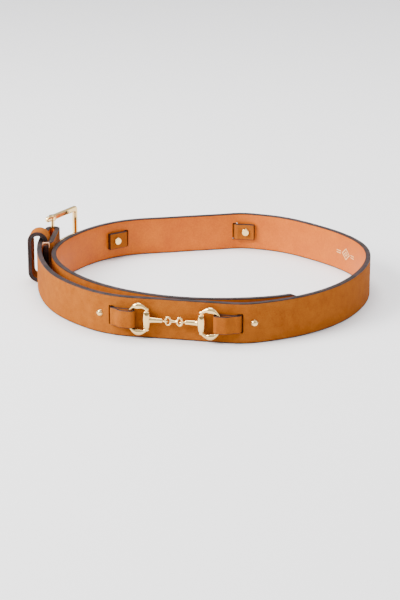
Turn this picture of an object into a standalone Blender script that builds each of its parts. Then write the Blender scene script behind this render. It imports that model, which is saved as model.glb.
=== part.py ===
"""A leather dress belt, coiled and standing on its lower edge, with two snaffle-bit ornaments.

Metres, +Z up. The strap is cut flat, then bent along its coil. Distances along the strap run
from the tip to the bar of the buckle and on round the fold; the outer face of the strap is on
the outside of the coil.
"""
import math

import bmesh
import bpy
import numpy as np
from mathutils import Matrix, Vector

MM = 0.001
WELD_DISTANCE = 1e-7

# strap
STRAP_WIDTH = 30.0 * MM
FACE_THICKNESS = 1.9 * MM
LINING_THICKNESS = 1.6 * MM
GLUE_GAP = 0.3 * MM
STRAP_THICKNESS = FACE_THICKNESS + GLUE_GAP + LINING_THICKNESS
HALF_STRAP = STRAP_THICKNESS / 2
FIT_GAP = 0.3 * MM
TIP_TAPER = 24.0 * MM
TIP_FLAT = 9.0 * MM
BEND_STEP = 7.0 * MM
FOLD_STEP = 2.0 * MM
HOLE_COUNT = 5
HOLE_SPACING = 25.0 * MM
FIRST_HOLE = 68.0 * MM
HOLE_RADIUS = 1.9 * MM

# centre line of the coil seen from above, in millimetres, from the tip to the buckle bar
COIL_POINTS = [
    (86, -87), (70, -100), (46, -109), (20, -112), (-8, -110), (-40, -99), (-68, -80),
    (-90, -55), (-106, -24), (-112, 6), (-107, 38), (-92, 68), (-70, 92),
    (-50, 102), (-32, 105.9), (-14, 109.8), (4, 113.7), (22, 117.6),
    (36, 120.2), (49, 117.2), (66, 110), (93, 87), (116, 58), (130, 24), (130, -14), (119, -50),
    (99, -83), (72, -107), (48, -119), (33, -122.8),
    (19, -121.3), (1, -117.5), (-17, -113.7), (-35, -109.9), (-53, -106.1),
    (-68, -99), (-84, -85), (-104, -58), (-117, -28), (-123, 2), (-123, 32), (-120.5, 58),
]

# moves the coil so that the belt stands over the origin, in millimetres
COIL_SHIFT = (0.5, 2.0)
SPLINE_STEP = 0.5
FOLD_POINTS = 25

# buckle
BAR_RADIUS = 1.5 * MM
BAR_INSET = 1.8 * MM
BAR_EASE = 0.15 * MM
BOSS_RADIUS = 2.9 * MM
BOSS_INSET = 0.15 * MM
FOLD_CLEARANCE = 0.4 * MM
FOLD_RADIUS = BAR_RADIUS + FOLD_CLEARANCE + HALF_STRAP
FRAME_HEIGHT = 45.5 * MM
RAIL_WIDTH = 4.5 * MM
RAIL_THICKNESS = 2.8 * MM
FRAME_REACH = 35.0 * MM
LUG_REACH = 8.5 * MM
FRAME_SWING = -23.0
FRAME_OUTER_CORNER = 3.0 * MM
FRAME_INNER_CORNER = 1.2 * MM
BAR_RISE = RAIL_WIDTH + FIT_GAP
RISE_START = 120.0 * MM
RISE_END = 25.0 * MM
PRONG_WIDTH = 3.4 * MM
PRONG_THICKNESS = 2.0 * MM
PRONG_EASE = 0.25 * MM
PRONG_EYE_WALL = 1.3 * MM
PRONG_SLOT_WIDTH = 5.4 * MM
PRONG_SLOT_BEFORE = 17.0 * MM
PRONG_SLOT_AFTER = 12.0 * MM

# keeper
KEEPER_WIDTH = 15.0 * MM
KEEPER_THICKNESS = 3.4 * MM
KEEPER_FROM_BAR = 30.0 * MM
KEEPER_STANDOFF = 5.0 * MM
KEEPER_GAP = 0.6 * MM
KEEPER_TOP = 41.6 * MM
KEEPER_BOTTOM = 0.4 * MM
KEEPER_NEAR_CORNER = 3.6 * MM
KEEPER_FAR_CORNER = 8.4 * MM

# fold-back of the strap behind the keeper
FOLD_BACK_LENGTH = 46.5 * MM
FOLD_END_GAP = 1.2 * MM
CLOSING_LENGTH = 4.5 * MM
THREAD_RADIUS = 0.35 * MM
THREAD_EASE = 0.2 * MM
TACK_FROM_BAR = 44.6 * MM

# snaffle-bit ornaments, sizes measured outwards from the middle of each
FRONT_BIT_FROM_BAR = 229.0 * MM
REAR_BIT_FROM_BAR = 666.2 * MM
BIT_STANDOFF = 5.6 * MM
TAB_WIDTH = 13.0 * MM
TAB_THICKNESS = 1.3 * MM
TAB_FOLD_OUT = 28.8 * MM
SLOT_OUT = 46.95 * MM
SLOT_HEIGHT = 14.4 * MM
SLOT_WIDTH = 4.7 * MM
SLOT_CORNER = 0.6 * MM
RIVET_OUT = 57.0 * MM
TAB_END_OUT = 64.6 * MM
TAB_CREST_OUT = 36.8 * MM
TAB_OVER_RING = 1.85 * MM
BEND_EASE = 0.05 * MM
SLOPE_STEPS = 7
RIVET_HOLE_RADIUS = 1.3 * MM
RIVET_STEM_RADIUS = 1.0 * MM
RIVET_DOME_RADIUS = 2.6 * MM
RIVET_CAP_RADIUS = 3.0 * MM
RIVET_CAP_THICKNESS = 1.0 * MM
RIVET_DOME_HEIGHT = 1.9 * MM
RIVET_RIM = 0.3 * MM
RIVET_LIFT = 0.12 * MM
DOME_STEPS = 5
RING_BAR_OUT = 20.1 * MM
RING_FAR_OUT = 34.0 * MM
RING_HINGE_OUT = 33.2 * MM
RING_HALF_HEIGHT = 9.85 * MM
RING_CENTRE_OUT = 25.6 * MM
RING_SWEEP = 125.0
RING_PIN_RADIUS = 1.2 * MM
RING_PIN_HALF = 7.9 * MM
RING_STEPS = 22
RING_SQUARENESS = 0.85
RING_WIRE = 1.1 * MM
RING_SWELL = 1.3 * MM
RING_SWELL_AT = 84.0
RING_SWELL_SPREAD = 24.0
RING_FLATTEN = 0.8
RING_NOSES = ((19.6 * MM, 7.75 * MM, 1.0 * MM), (18.9 * MM, 7.7 * MM, 0.75 * MM))
BARREL_HALF_HEIGHT = 6.4 * MM
BARREL_RADIUS = 3.15 * MM
BARREL_END_RADIUS = 2.2 * MM
BARREL_BORE = 1.5 * MM
BARREL_LIP = 0.3 * MM
BARREL_STEPS = 6
ARM_START_OUT = 2.2 * MM
ARM_RADII = (2.25 * MM, 2.1 * MM, 1.7 * MM, 0.7 * MM)
LOOP_OUT = 6.1 * MM
LOOP_RADIUS = 1.8 * MM
LOOP_WIRE = 0.55 * MM
LOOP_TURNS = 16
EYE_OUT = 4.25 * MM
EYE_HALF_WIDTH = 1.9 * MM
EYE_HALF_HEIGHT = 2.85 * MM
EYE_WIRE = 0.8 * MM
EYE_TURNS = 20
LINK_RADII = (1.3 * MM, 1.0 * MM, 1.3 * MM)

SUEDE = (0.42, 0.16, 0.045)
LINING = (0.56, 0.21, 0.075)
THREAD = (0.75, 0.38, 0.22)
GOLD = (0.86, 0.68, 0.36)


def clear_scene():
    for old in list(bpy.data.objects):
        bpy.data.objects.remove(old, do_unlink=True)


def new_collection(name, cutter=False):
    made = bpy.data.collections.new(name)
    bpy.context.scene.collection.children.link(made)
    made.hide_render = cutter
    return made


def new_material(name, colour, roughness, metallic=0.0):
    made = bpy.data.materials.new(name)
    made.use_nodes = True
    shader = made.node_tree.nodes["Principled BSDF"]
    shader.inputs["Base Color"].default_value = (*colour, 1.0)
    shader.inputs["Roughness"].default_value = roughness
    shader.inputs["Metallic"].default_value = metallic
    made.diffuse_color = (*colour, 1.0)
    return made


# ---------------------------------------------------------------- coil of the strap

def natural_spline(points, step):
    """Points at an even step along a natural cubic spline through the given points."""
    knots = np.array(points, dtype=float)
    chord = np.linalg.norm(np.diff(knots, axis=0), axis=1)
    t = np.concatenate([[0.0], np.cumsum(chord)])
    count = len(knots)
    matrix = np.zeros((count, count))
    right = np.zeros((count, 2))
    matrix[0, 0] = 1.0
    matrix[-1, -1] = 1.0
    for i in range(1, count - 1):
        before, after = chord[i - 1], chord[i]
        matrix[i, i - 1] = before
        matrix[i, i] = 2 * (before + after)
        matrix[i, i + 1] = after
        right[i] = 6 * ((knots[i + 1] - knots[i]) / after - (knots[i] - knots[i - 1]) / before)
    second = np.linalg.solve(matrix, right)
    samples = np.linspace(0.0, t[-1], int(t[-1] / step) + 1)
    span = np.clip(np.searchsorted(t, samples, side="right") - 1, 0, count - 2)
    width = chord[span]
    a = ((t[span + 1] - samples) / width)[:, None]
    b = ((samples - t[span]) / width)[:, None]
    bend = ((a ** 3 - a) * second[span] + (b ** 3 - b) * second[span + 1])
    return a * knots[span] + b * knots[span + 1] + bend * (width[:, None] ** 2) / 6


def smooth_step(value):
    value = np.clip(value, 0.0, 1.0)
    return value * value * (3 - 2 * value)


def unit_tangents(line):
    rate = np.gradient(line, axis=0)
    return rate / np.linalg.norm(rate, axis=1)[:, None]


def fold_spread(behind_bar):
    """Distance between the two layers' centre lines, at a distance back from the bar."""
    at_bar = 2 * FOLD_RADIUS
    at_keeper = STRAP_THICKNESS + KEEPER_THICKNESS + 2 * KEEPER_GAP
    at_end = STRAP_THICKNESS + FOLD_END_GAP
    keeper_end = KEEPER_FROM_BAR + KEEPER_WIDTH / 2
    opening = smooth_step(behind_bar / (KEEPER_FROM_BAR - KEEPER_WIDTH / 2))
    closing = smooth_step((behind_bar - keeper_end - FIT_GAP) / CLOSING_LENGTH)
    return at_bar + (at_keeper - at_bar) * opening + (at_end - at_keeper) * closing


class Coil:
    """The strap's centre line from the tip, round the bar and back, with its side direction."""

    def __init__(self):
        line = (natural_spline(COIL_POINTS, SPLINE_STEP) + COIL_SHIFT) * MM
        heading = unit_tangents(line)
        side = np.stack([-heading[:, 1], heading[:, 0]], axis=1)
        self.bar = line[-1] - side[-1] * FOLD_RADIUS
        self.bar_heading = math.atan2(heading[-1, 1], heading[-1, 0])

        angles = np.linspace(math.pi / 2, -math.pi / 2, FOLD_POINTS)[1:] + self.bar_heading
        ring = np.stack([np.cos(angles), np.sin(angles)], axis=1)
        fold = self.bar + ring * FOLD_RADIUS

        run = np.concatenate([[0.0], np.cumsum(np.linalg.norm(np.diff(line, axis=0), axis=1))])
        behind = run[-1] - run
        after_fold = behind > SPLINE_STEP * MM / 2
        back = np.nonzero(after_fold & (behind < FOLD_BACK_LENGTH))[0][::-1]
        returned = line[back] - side[back] * fold_spread(behind[back])[:, None]

        self.to_bar = run[-1]
        whole = np.concatenate([line, fold, returned])
        self.run = np.concatenate([[0.0], np.cumsum(np.linalg.norm(np.diff(whole, axis=0), axis=1))])
        self.apex = self.to_bar + FOLD_RADIUS * math.pi / 2
        self.length = self.run[-1]
        self.line = whole
        self.heading = unit_tangents(whole)

    def point(self, along):
        return np.array([np.interp(along, self.run, self.line[:, k]) for k in (0, 1)])

    def frame(self, along):
        """Centre-line point, unit heading and unit side direction, as plan vectors."""
        heading = np.array([np.interp(along, self.run, self.heading[:, k]) for k in (0, 1)])
        heading /= np.linalg.norm(heading, axis=0)
        side = np.array([-heading[1], heading[0]])
        return self.point(along), heading, side

    def rise(self, along):
        """Height of the strap's lower edge above the table."""
        before_fold = np.minimum(along, 2 * self.apex - along)
        climbed = before_fold - (self.to_bar - RISE_START)
        return BAR_RISE * smooth_step(climbed / (RISE_START - RISE_END))

    def bend(self, along, outward, height):
        """World position of a place given along, outward from and up the flat strap."""
        point, _, side = self.frame(along)
        spot = point + side * outward
        return Vector((float(spot[0]), float(spot[1]), float(height + self.rise(along))))


def bend_mesh(mesh, coil):
    """Cut a flat mesh (x along, y outward, z up) across at regular steps and bend it."""
    work = bmesh.new()
    work.from_mesh(mesh)
    low = min(v.co.x for v in work.verts)
    high = max(v.co.x for v in work.verts)
    stations = []
    station = math.ceil(low / BEND_STEP) * BEND_STEP
    while station < high:
        stations.append(station)
        station += FOLD_STEP if station > coil.to_bar - BEND_STEP else BEND_STEP
    for station in stations:
        geometry = work.verts[:] + work.edges[:] + work.faces[:]
        cut = bmesh.ops.bisect_plane(work, geom=geometry, dist=WELD_DISTANCE, plane_co=(station, 0, 0),
                                     plane_no=(1, 0, 0))
        for item in cut["geom_cut"]:
            if isinstance(item, bmesh.types.BMEdge):
                item.seam = True
    bmesh.ops.dissolve_limit(work, angle_limit=math.radians(0.1), verts=work.verts,
                             edges=work.edges, delimit={"SEAM"})
    for vertex in work.verts:
        vertex.co = coil.bend(vertex.co.x, vertex.co.y, vertex.co.z)
    work.to_mesh(mesh)
    work.free()


# ---------------------------------------------------------------- shapes

def link_object(name, data, collection, material=None):
    made = bpy.data.objects.new(name, data)
    collection.objects.link(made)
    if material is not None:
        data.materials.clear()
        data.materials.append(material)
    return made


def flat_shape(outlines, thickness):
    """A plate in the XY plane, its outlines filled and given a thickness along Z."""
    curve = bpy.data.curves.new("flat", "CURVE")
    curve.dimensions = "2D"
    curve.fill_mode = "BOTH"
    curve.extrude = thickness / 2
    for outline in outlines:
        spline = curve.splines.new("POLY")
        spline.points.add(len(outline) - 1)
        for point, (x, y) in zip(spline.points, outline):
            point.co = (x, y, 0.0, 1.0)
        spline.use_cyclic_u = True
    return curve_to_mesh(curve)


def curve_to_mesh(curve):
    """A clean mesh from a curve, which is then removed."""
    holder = bpy.data.objects.new("curve_holder", curve)
    bpy.context.scene.collection.objects.link(holder)
    graph = bpy.context.evaluated_depsgraph_get()
    mesh = bpy.data.meshes.new_from_object(holder.evaluated_get(graph))
    bpy.data.objects.remove(holder, do_unlink=True)
    bpy.data.curves.remove(curve)
    work = bmesh.new()
    work.from_mesh(mesh)
    bmesh.ops.remove_doubles(work, verts=work.verts, dist=WELD_DISTANCE)
    bmesh.ops.recalc_face_normals(work, faces=work.faces)
    work.to_mesh(mesh)
    work.free()
    return mesh


def wire_mesh(points, radii, cyclic=False, resolution=3):
    """A round wire through the points, with a radius at each, its ends capped."""
    curve = bpy.data.curves.new("wire", "CURVE")
    curve.dimensions = "3D"
    curve.bevel_depth = 1.0
    curve.bevel_resolution = resolution
    curve.use_fill_caps = not cyclic
    spline = curve.splines.new("POLY")
    spline.points.add(len(points) - 1)
    for point, place, radius in zip(spline.points, points, radii):
        point.co = (*place, 1.0)
        point.radius = radius
    spline.use_cyclic_u = cyclic
    return curve_to_mesh(curve)


def circle_outline(centre, radius, count=24):
    angles = [2 * math.pi * k / count for k in range(count)]
    return [(centre[0] + radius * math.cos(a), centre[1] + radius * math.sin(a)) for a in angles]


def rounded_box_outline(low, high, radius, steps=5):
    """A rectangle in the plane with round corners."""
    corners = [(high[0] - radius, high[1] - radius, 0.0), (low[0] + radius, high[1] - radius, 90.0),
               (low[0] + radius, low[1] + radius, 180.0), (high[0] - radius, low[1] + radius, 270.0)]
    outline = []
    for x, y, start in corners:
        for k in range(steps + 1):
            angle = math.radians(start + 90.0 * k / steps)
            outline.append((x + radius * math.cos(angle), y + radius * math.sin(angle)))
    return outline


def turned_mesh(profile, segments=24):
    """A solid of revolution about Z from (radius, height) pairs, from the top down."""
    work = bmesh.new()
    vertices = [work.verts.new((radius, 0.0, height)) for radius, height in profile]
    for first, second in zip(vertices, vertices[1:]):
        work.edges.new((first, second))
    mesh = bpy.data.meshes.new("turned")
    work.to_mesh(mesh)
    work.free()
    holder = bpy.data.objects.new("turned_holder", mesh)
    bpy.context.scene.collection.objects.link(holder)
    screw = holder.modifiers.new("turn", "SCREW")
    screw.steps = segments
    screw.render_steps = segments
    screw.use_merge_vertices = True
    screw.merge_threshold = WELD_DISTANCE
    graph = bpy.context.evaluated_depsgraph_get()
    turned = bpy.data.meshes.new_from_object(holder.evaluated_get(graph))
    bpy.data.objects.remove(holder, do_unlink=True)
    work = bmesh.new()
    work.from_mesh(turned)
    bmesh.ops.remove_doubles(work, verts=work.verts, dist=WELD_DISTANCE)
    bmesh.ops.recalc_face_normals(work, faces=work.faces)
    work.to_mesh(turned)
    work.free()
    return turned


def cylinder_mesh(radius, low, high, segments=20):
    return turned_mesh([(0.0, high), (radius, high), (radius, low), (0.0, low)], segments)


def move_mesh(mesh, offset=(0, 0, 0), turn=None):
    if turn is not None:
        mesh.transform(turn)
    mesh.transform(Matrix.Translation(offset))
    return mesh


def boolean(target, tool_mesh, operation, cutters):
    """Join a tool to, or cut it from, an object, and keep the tool among the cutters."""
    tool = link_object(target.name + "_" + operation.lower(), tool_mesh, cutters)
    tool.matrix_world = target.matrix_world
    tool.hide_render = True
    tool.display_type = "WIRE"
    step = target.modifiers.new(operation.lower(), "BOOLEAN")
    step.operation = operation
    step.solver = "EXACT"
    step.object = tool
    return tool


def shade_smooth(target, angle=40.0):
    for polygon in target.data.polygons:
        polygon.use_smooth = True
    target.data.set_sharp_from_angle(angle=math.radians(angle))


def soften(target, width, segments=2, angle=35.0):
    step = target.modifiers.new("soften", "BEVEL")
    step.width = width
    step.segments = segments
    step.limit_method = "ANGLE"
    step.angle_limit = math.radians(angle)
    step.harden_normals = False


# ---------------------------------------------------------------- strap

def bit_places(coil):
    return {"front": coil.to_bar - FRONT_BIT_FROM_BAR, "rear": coil.to_bar - REAR_BIT_FROM_BAR}


def strap_outlines(coil):
    """Outline of the flat strap, as (along, height) points, and of every slot and hole in it."""
    middle = STRAP_WIDTH / 2
    tip_side = [(TIP_TAPER, middle), (4.0 * MM, TIP_FLAT / 2 + 1.5 * MM),
                (1.0 * MM, TIP_FLAT / 2 - 0.8 * MM), (0.0, TIP_FLAT / 2 - 2.8 * MM)]
    outline = [(x, middle - y) for x, y in tip_side]
    outline += [(x, middle + y) for x, y in reversed(tip_side)]
    outline += [(coil.length, STRAP_WIDTH), (coil.length, 0.0)]
    holes = []
    for index in range(HOLE_COUNT):
        holes.append(circle_outline((FIRST_HOLE + index * HOLE_SPACING, middle), HOLE_RADIUS, 20))
    for place in bit_places(coil).values():
        for sign in (-1, 1):
            slot = place + sign * SLOT_OUT
            holes.append(rounded_box_outline((slot - SLOT_WIDTH / 2, middle - SLOT_HEIGHT / 2),
                                             (slot + SLOT_WIDTH / 2, middle + SLOT_HEIGHT / 2),
                                             SLOT_CORNER, 3))
            holes.append(circle_outline((place + sign * RIVET_OUT, middle), RIVET_HOLE_RADIUS, 16))
    holes.append(rounded_box_outline(
        (coil.apex - PRONG_SLOT_BEFORE, middle - PRONG_SLOT_WIDTH / 2),
        (coil.apex + PRONG_SLOT_AFTER, middle + PRONG_SLOT_WIDTH / 2),
        PRONG_SLOT_WIDTH / 2 - 0.1 * MM, 6))
    return [outline] + holes


def make_strap(coil, parts, materials):
    """The suede face and the smooth lining, one sheet each, bent along the coil."""
    sheets = (("strap_face", FACE_THICKNESS, HALF_STRAP - FACE_THICKNESS / 2, "suede"),
              ("strap_lining", LINING_THICKNESS, LINING_THICKNESS / 2 - HALF_STRAP, "lining"))
    for name, thickness, outward, material in sheets:
        mesh = flat_shape(strap_outlines(coil), thickness)
        move_mesh(mesh, (0, outward, 0), Matrix.Rotation(math.pi / 2, 4, "X"))
        bend_mesh(mesh, coil)
        shade_smooth(link_object(name, mesh, parts, materials[material]))


# ---------------------------------------------------------------- snaffle bits

def arc_points(centre, radius, start, end, count):
    angles = [math.radians(start + (end - start) * k / (count - 1)) for k in range(count)]
    return [(centre[0] + radius * math.cos(a), centre[1] + radius * math.sin(a)) for a in angles]


def tab_route():
    """Centre line of a tab as (outward from the bit's middle, out from the strap) points."""
    half = TAB_THICKNESS / 2
    layer = TAB_THICKNESS + FIT_GAP
    entry = SLOT_OUT - SLOT_WIDTH / 2 - BEND_EASE
    leave = SLOT_OUT + SLOT_WIDTH / 2 + BEND_EASE
    low = HALF_STRAP - BEND_EASE
    near_bend = FIT_GAP + half + BEND_EASE
    far_bend = near_bend + layer
    fold_low = HALF_STRAP + FIT_GAP + half
    fold_high = BIT_STANDOFF + TAB_OVER_RING + half
    fold_radius = (fold_high - fold_low) / 2
    fold_centre = (TAB_FOLD_OUT + half + fold_radius, (fold_low + fold_high) / 2)

    under = [(TAB_END_OUT, -low - far_bend)]
    under += arc_points((leave, -low), far_bend, 270, 180, 7)
    under += arc_points((entry, low), near_bend, 0, 90, 5)
    fold = arc_points(fold_centre, fold_radius, 270, 90, 13)
    drop = fold_high - (low + far_bend)
    over = [(TAB_CREST_OUT, fold_high)]
    for k in range(1, SLOPE_STEPS):
        share = k / SLOPE_STEPS
        place = TAB_CREST_OUT + (entry - TAB_CREST_OUT) * share
        over.append((place, fold_high - drop * (1 - math.cos(math.pi * share)) / 2))
    over += arc_points((entry, low), far_bend, 90, 0, 7)
    over += arc_points((leave, -low), near_bend, 180, 270, 5)
    over.append((TAB_END_OUT, -low - near_bend))
    return under + fold + over


def ribbon_outline(route, thickness):
    """Both sides of a strip that follows a route in the plane."""
    line = np.array(route)
    before = np.vstack([line[:1], line[:-1]])
    after = np.vstack([line[1:], line[-1:]])
    first = line - before
    second = after - line
    first[0] = second[0]
    second[-1] = first[-1]
    first /= np.linalg.norm(first, axis=1)[:, None]
    second /= np.linalg.norm(second, axis=1)[:, None]
    middle = first + second
    middle /= np.linalg.norm(middle, axis=1)[:, None]
    side = np.stack([-middle[:, 1], middle[:, 0]], axis=1)
    reach = thickness / 2 / np.sum(side * np.stack([-first[:, 1], first[:, 0]], axis=1), axis=1)
    left = line + side * reach[:, None]
    right = line - side * reach[:, None]
    return [tuple(p) for p in left] + [tuple(p) for p in right[::-1]]


def make_tab(name, coil, place, sign, parts, cutters, material):
    """A folded leather tab, through its slot and round its ring, bent with the strap."""
    outline = ribbon_outline(tab_route(), TAB_THICKNESS)
    tab = link_object(name, flat_shape([outline], TAB_WIDTH), parts, material)
    hole = cylinder_mesh(RIVET_HOLE_RADIUS, -9 * MM, 0.0, 16)
    move_mesh(hole, (RIVET_OUT, 0, 0), Matrix.Rotation(-math.pi / 2, 4, "X"))
    boolean(tab, hole, "DIFFERENCE", cutters)
    mesh = apply_modifiers(tab)
    if sign < 0:
        mesh.transform(Matrix.Rotation(math.pi, 4, "Z") @ Matrix.Scale(-1, 4, (0, 1, 0)))
        mesh.flip_normals()
    mesh.transform(Matrix.Translation((place, 0, STRAP_WIDTH / 2)))
    bend_mesh(mesh, coil)
    shade_smooth(tab)


def apply_modifiers(target):
    """Replace an object's mesh by its evaluated one, and drop its modifiers and tools."""
    graph = bpy.context.evaluated_depsgraph_get()
    mesh = bpy.data.meshes.new_from_object(target.evaluated_get(graph))
    tools = [step.object for step in target.modifiers if step.type == "BOOLEAN"]
    target.modifiers.clear()
    target.data = mesh
    for tool in tools:
        bpy.data.objects.remove(tool, do_unlink=True)
    return mesh


def ring_route():
    """The crescent of a ring as (outward, height) places with a wire radius at each."""
    places = []
    radii = []
    for k in range(RING_STEPS + 1):
        turn = RING_SWEEP * (2 * k / RING_STEPS - 1)
        reach = math.cos(math.radians(turn))
        if reach > 0:
            reach = reach ** RING_SQUARENESS
        places.append((RING_CENTRE_OUT + (RING_FAR_OUT - RING_CENTRE_OUT) * reach,
                       RING_HALF_HEIGHT * math.sin(math.radians(turn))))
        swell = math.exp(-((abs(turn) - RING_SWELL_AT) / RING_SWELL_SPREAD) ** 2)
        radii.append(RING_WIRE + RING_SWELL * swell)
    upper = [(out, height) for out, height, _ in RING_NOSES]
    lower = [(out, -height) for out, height in upper[::-1]]
    nose_radii = [radius for _, _, radius in RING_NOSES]
    return lower + places + upper, nose_radii[::-1] + radii + nose_radii


def make_ring(name, frame, sign, parts, cutters, material):
    """A crescent ring with its straight pin, hinged where the tab holds it."""
    places, radii = ring_route()
    points = [(sign * (x - RING_HINGE_OUT), 0.0, z) for x, z in places]
    crescent = wire_mesh(points, radii, resolution=2)
    crescent.transform(Matrix.Scale(RING_FLATTEN, 4, (0, 1, 0)))
    ring = link_object(name, crescent, parts, material)
    pin = cylinder_mesh(RING_PIN_RADIUS, -RING_PIN_HALF, RING_PIN_HALF, 16)
    move_mesh(pin, (sign * (RING_BAR_OUT - RING_HINGE_OUT), 0, 0))
    boolean(ring, pin, "UNION", cutters)
    settle(ring, frame, (sign * RING_HINGE_OUT, BIT_STANDOFF, 0.0))


def make_arm(name, frame, sign, parts, cutters, material):
    """A bored barrel, its tapering arm and the small loop that hooks the middle link."""
    lip = BARREL_END_RADIUS - BARREL_LIP
    flare = [(lip, BARREL_HALF_HEIGHT)]
    for k in range(BARREL_STEPS + 1):
        height = (BARREL_HALF_HEIGHT - BARREL_LIP) * (1 - 2 * k / BARREL_STEPS)
        swell = 1 - (height / BARREL_HALF_HEIGHT) ** 2
        flare.append((BARREL_END_RADIUS + (BARREL_RADIUS - BARREL_END_RADIUS) * swell, height))
    flare.append((lip, -BARREL_HALF_HEIGHT))
    profile = [(BARREL_BORE, BARREL_HALF_HEIGHT)] + flare + [(BARREL_BORE, -BARREL_HALF_HEIGHT)]
    profile.append(profile[0])
    arm = link_object(name, turned_mesh(profile, 16), parts, material)

    inward = -sign
    loop_centre = inward * (RING_BAR_OUT - LOOP_OUT)
    loop_near = RING_BAR_OUT - LOOP_OUT - LOOP_RADIUS
    places = (ARM_START_OUT, 2 * ARM_START_OUT, loop_near - LOOP_WIRE, loop_near + LOOP_WIRE / 2)
    shaft = wire_mesh([(inward * place, 0, 0) for place in places], ARM_RADII, resolution=2)
    boolean(arm, shaft, "UNION", cutters)
    loop = [(x, y, 0.0) for x, y in circle_outline((loop_centre, 0.0), LOOP_RADIUS, LOOP_TURNS)]
    wires = [LOOP_WIRE] * LOOP_TURNS
    boolean(arm, wire_mesh(loop, wires, cyclic=True, resolution=2), "UNION", cutters)
    settle(arm, frame, (sign * RING_BAR_OUT, BIT_STANDOFF, 0.0))


def make_link(name, frame, parts, cutters, material):
    """The middle link: two upright eyes joined by a short bar."""
    stretch = EYE_HALF_HEIGHT / EYE_HALF_WIDTH
    eyes = []
    for sign in (-1, 1):
        ring = circle_outline((sign * EYE_OUT, 0.0), EYE_HALF_WIDTH, EYE_TURNS)
        eye = [(x, 0.0, y * stretch) for x, y in ring]
        eyes.append(wire_mesh(eye, [EYE_WIRE] * EYE_TURNS, cyclic=True, resolution=2))
    link = link_object(name, eyes[0], parts, material)
    boolean(link, eyes[1], "UNION", cutters)
    reach = EYE_OUT - EYE_HALF_WIDTH + 0.2 * MM
    waist = wire_mesh([(-reach, 0, 0), (0, 0, 0), (reach, 0, 0)], LINK_RADII, resolution=4)
    boolean(link, waist, "UNION", cutters)
    settle(link, frame, (0.0, BIT_STANDOFF, 0.0))


def settle(target, frame, place):
    """Put an object on a parent empty at a place in the empty's own axes."""
    target.parent = frame
    target.location = place
    for tool in [step.object for step in target.modifiers if step.type == "BOOLEAN"]:
        tool.parent = frame
        tool.location = place
    shade_smooth(target)


def make_rivet(side_name, coil, along, parts, materials):
    """A domed rivet with its stem, and the flat cap that takes the stem on the inside."""
    _, heading, side = coil.frame(along)
    turn = Matrix(((-heading[0], 0, side[0]), (-heading[1], 0, side[1]), (0, 1, 0))).to_4x4()
    base = HALF_STRAP + RIVET_LIFT
    cap_face = HALF_STRAP + 2 * TAB_THICKNESS + 4 * FIT_GAP
    socket_depth = RIVET_CAP_THICKNESS * 0.6
    stem_end = -cap_face - socket_depth + RIVET_LIFT
    curve_height = RIVET_DOME_HEIGHT - RIVET_RIM
    dome = [(0.0, base + RIVET_DOME_HEIGHT)]
    for k in range(1, DOME_STEPS + 1):
        angle = math.pi / 2 * k / DOME_STEPS
        dome.append((RIVET_DOME_RADIUS * math.sin(angle),
                     base + RIVET_RIM + curve_height * math.cos(angle)))
    dome += [(RIVET_DOME_RADIUS, base), (RIVET_STEM_RADIUS, base),
             (RIVET_STEM_RADIUS, stem_end), (0.0, stem_end)]
    socket = RIVET_STEM_RADIUS + RIVET_LIFT
    low = -cap_face - RIVET_CAP_THICKNESS
    cap = [(0.0, -cap_face - socket_depth), (socket, -cap_face - socket_depth),
           (socket, -cap_face), (RIVET_CAP_RADIUS - RIVET_RIM, -cap_face),
           (RIVET_CAP_RADIUS, -cap_face - RIVET_RIM), (RIVET_CAP_RADIUS, low + RIVET_RIM),
           (RIVET_CAP_RADIUS - RIVET_RIM, low), (0.0, low)]
    place = coil.bend(along, 0.0, STRAP_WIDTH / 2)
    for name, profile in ((side_name + "_rivet", dome), (side_name + "_rivet_cap", cap)):
        made = link_object(name, turned_mesh(profile, 16), parts, materials["gold"])
        made.matrix_world = Matrix.Translation(place) @ turn
        shade_smooth(made)


def make_bit(bit, coil, place, parts, cutters, materials):
    """One ornament: two tabs with rivets, two rings, two arms and the middle link."""
    _, heading, _ = coil.frame(place)
    frame = bpy.data.objects.new(bit + "_bit_place", None)
    parts.objects.link(frame)
    frame.location = coil.bend(place, 0.0, STRAP_WIDTH / 2)
    frame.rotation_euler = (0, 0, math.atan2(heading[1], heading[0]))
    bpy.context.view_layer.update()
    for side_name, sign in (("left", 1), ("right", -1)):
        name = bit + "_" + side_name
        make_tab(name + "_tab", coil, place, sign, parts, cutters, materials["suede"])
        make_rivet(name, coil, place + sign * RIVET_OUT, parts, materials)
        make_ring(name + "_ring", frame, sign, parts, cutters, materials["gold"])
        make_arm(name + "_arm", frame, sign, parts, cutters, materials["gold"])
    make_link(bit + "_link", frame, parts, cutters, materials["gold"])


# ---------------------------------------------------------------- buckle

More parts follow.
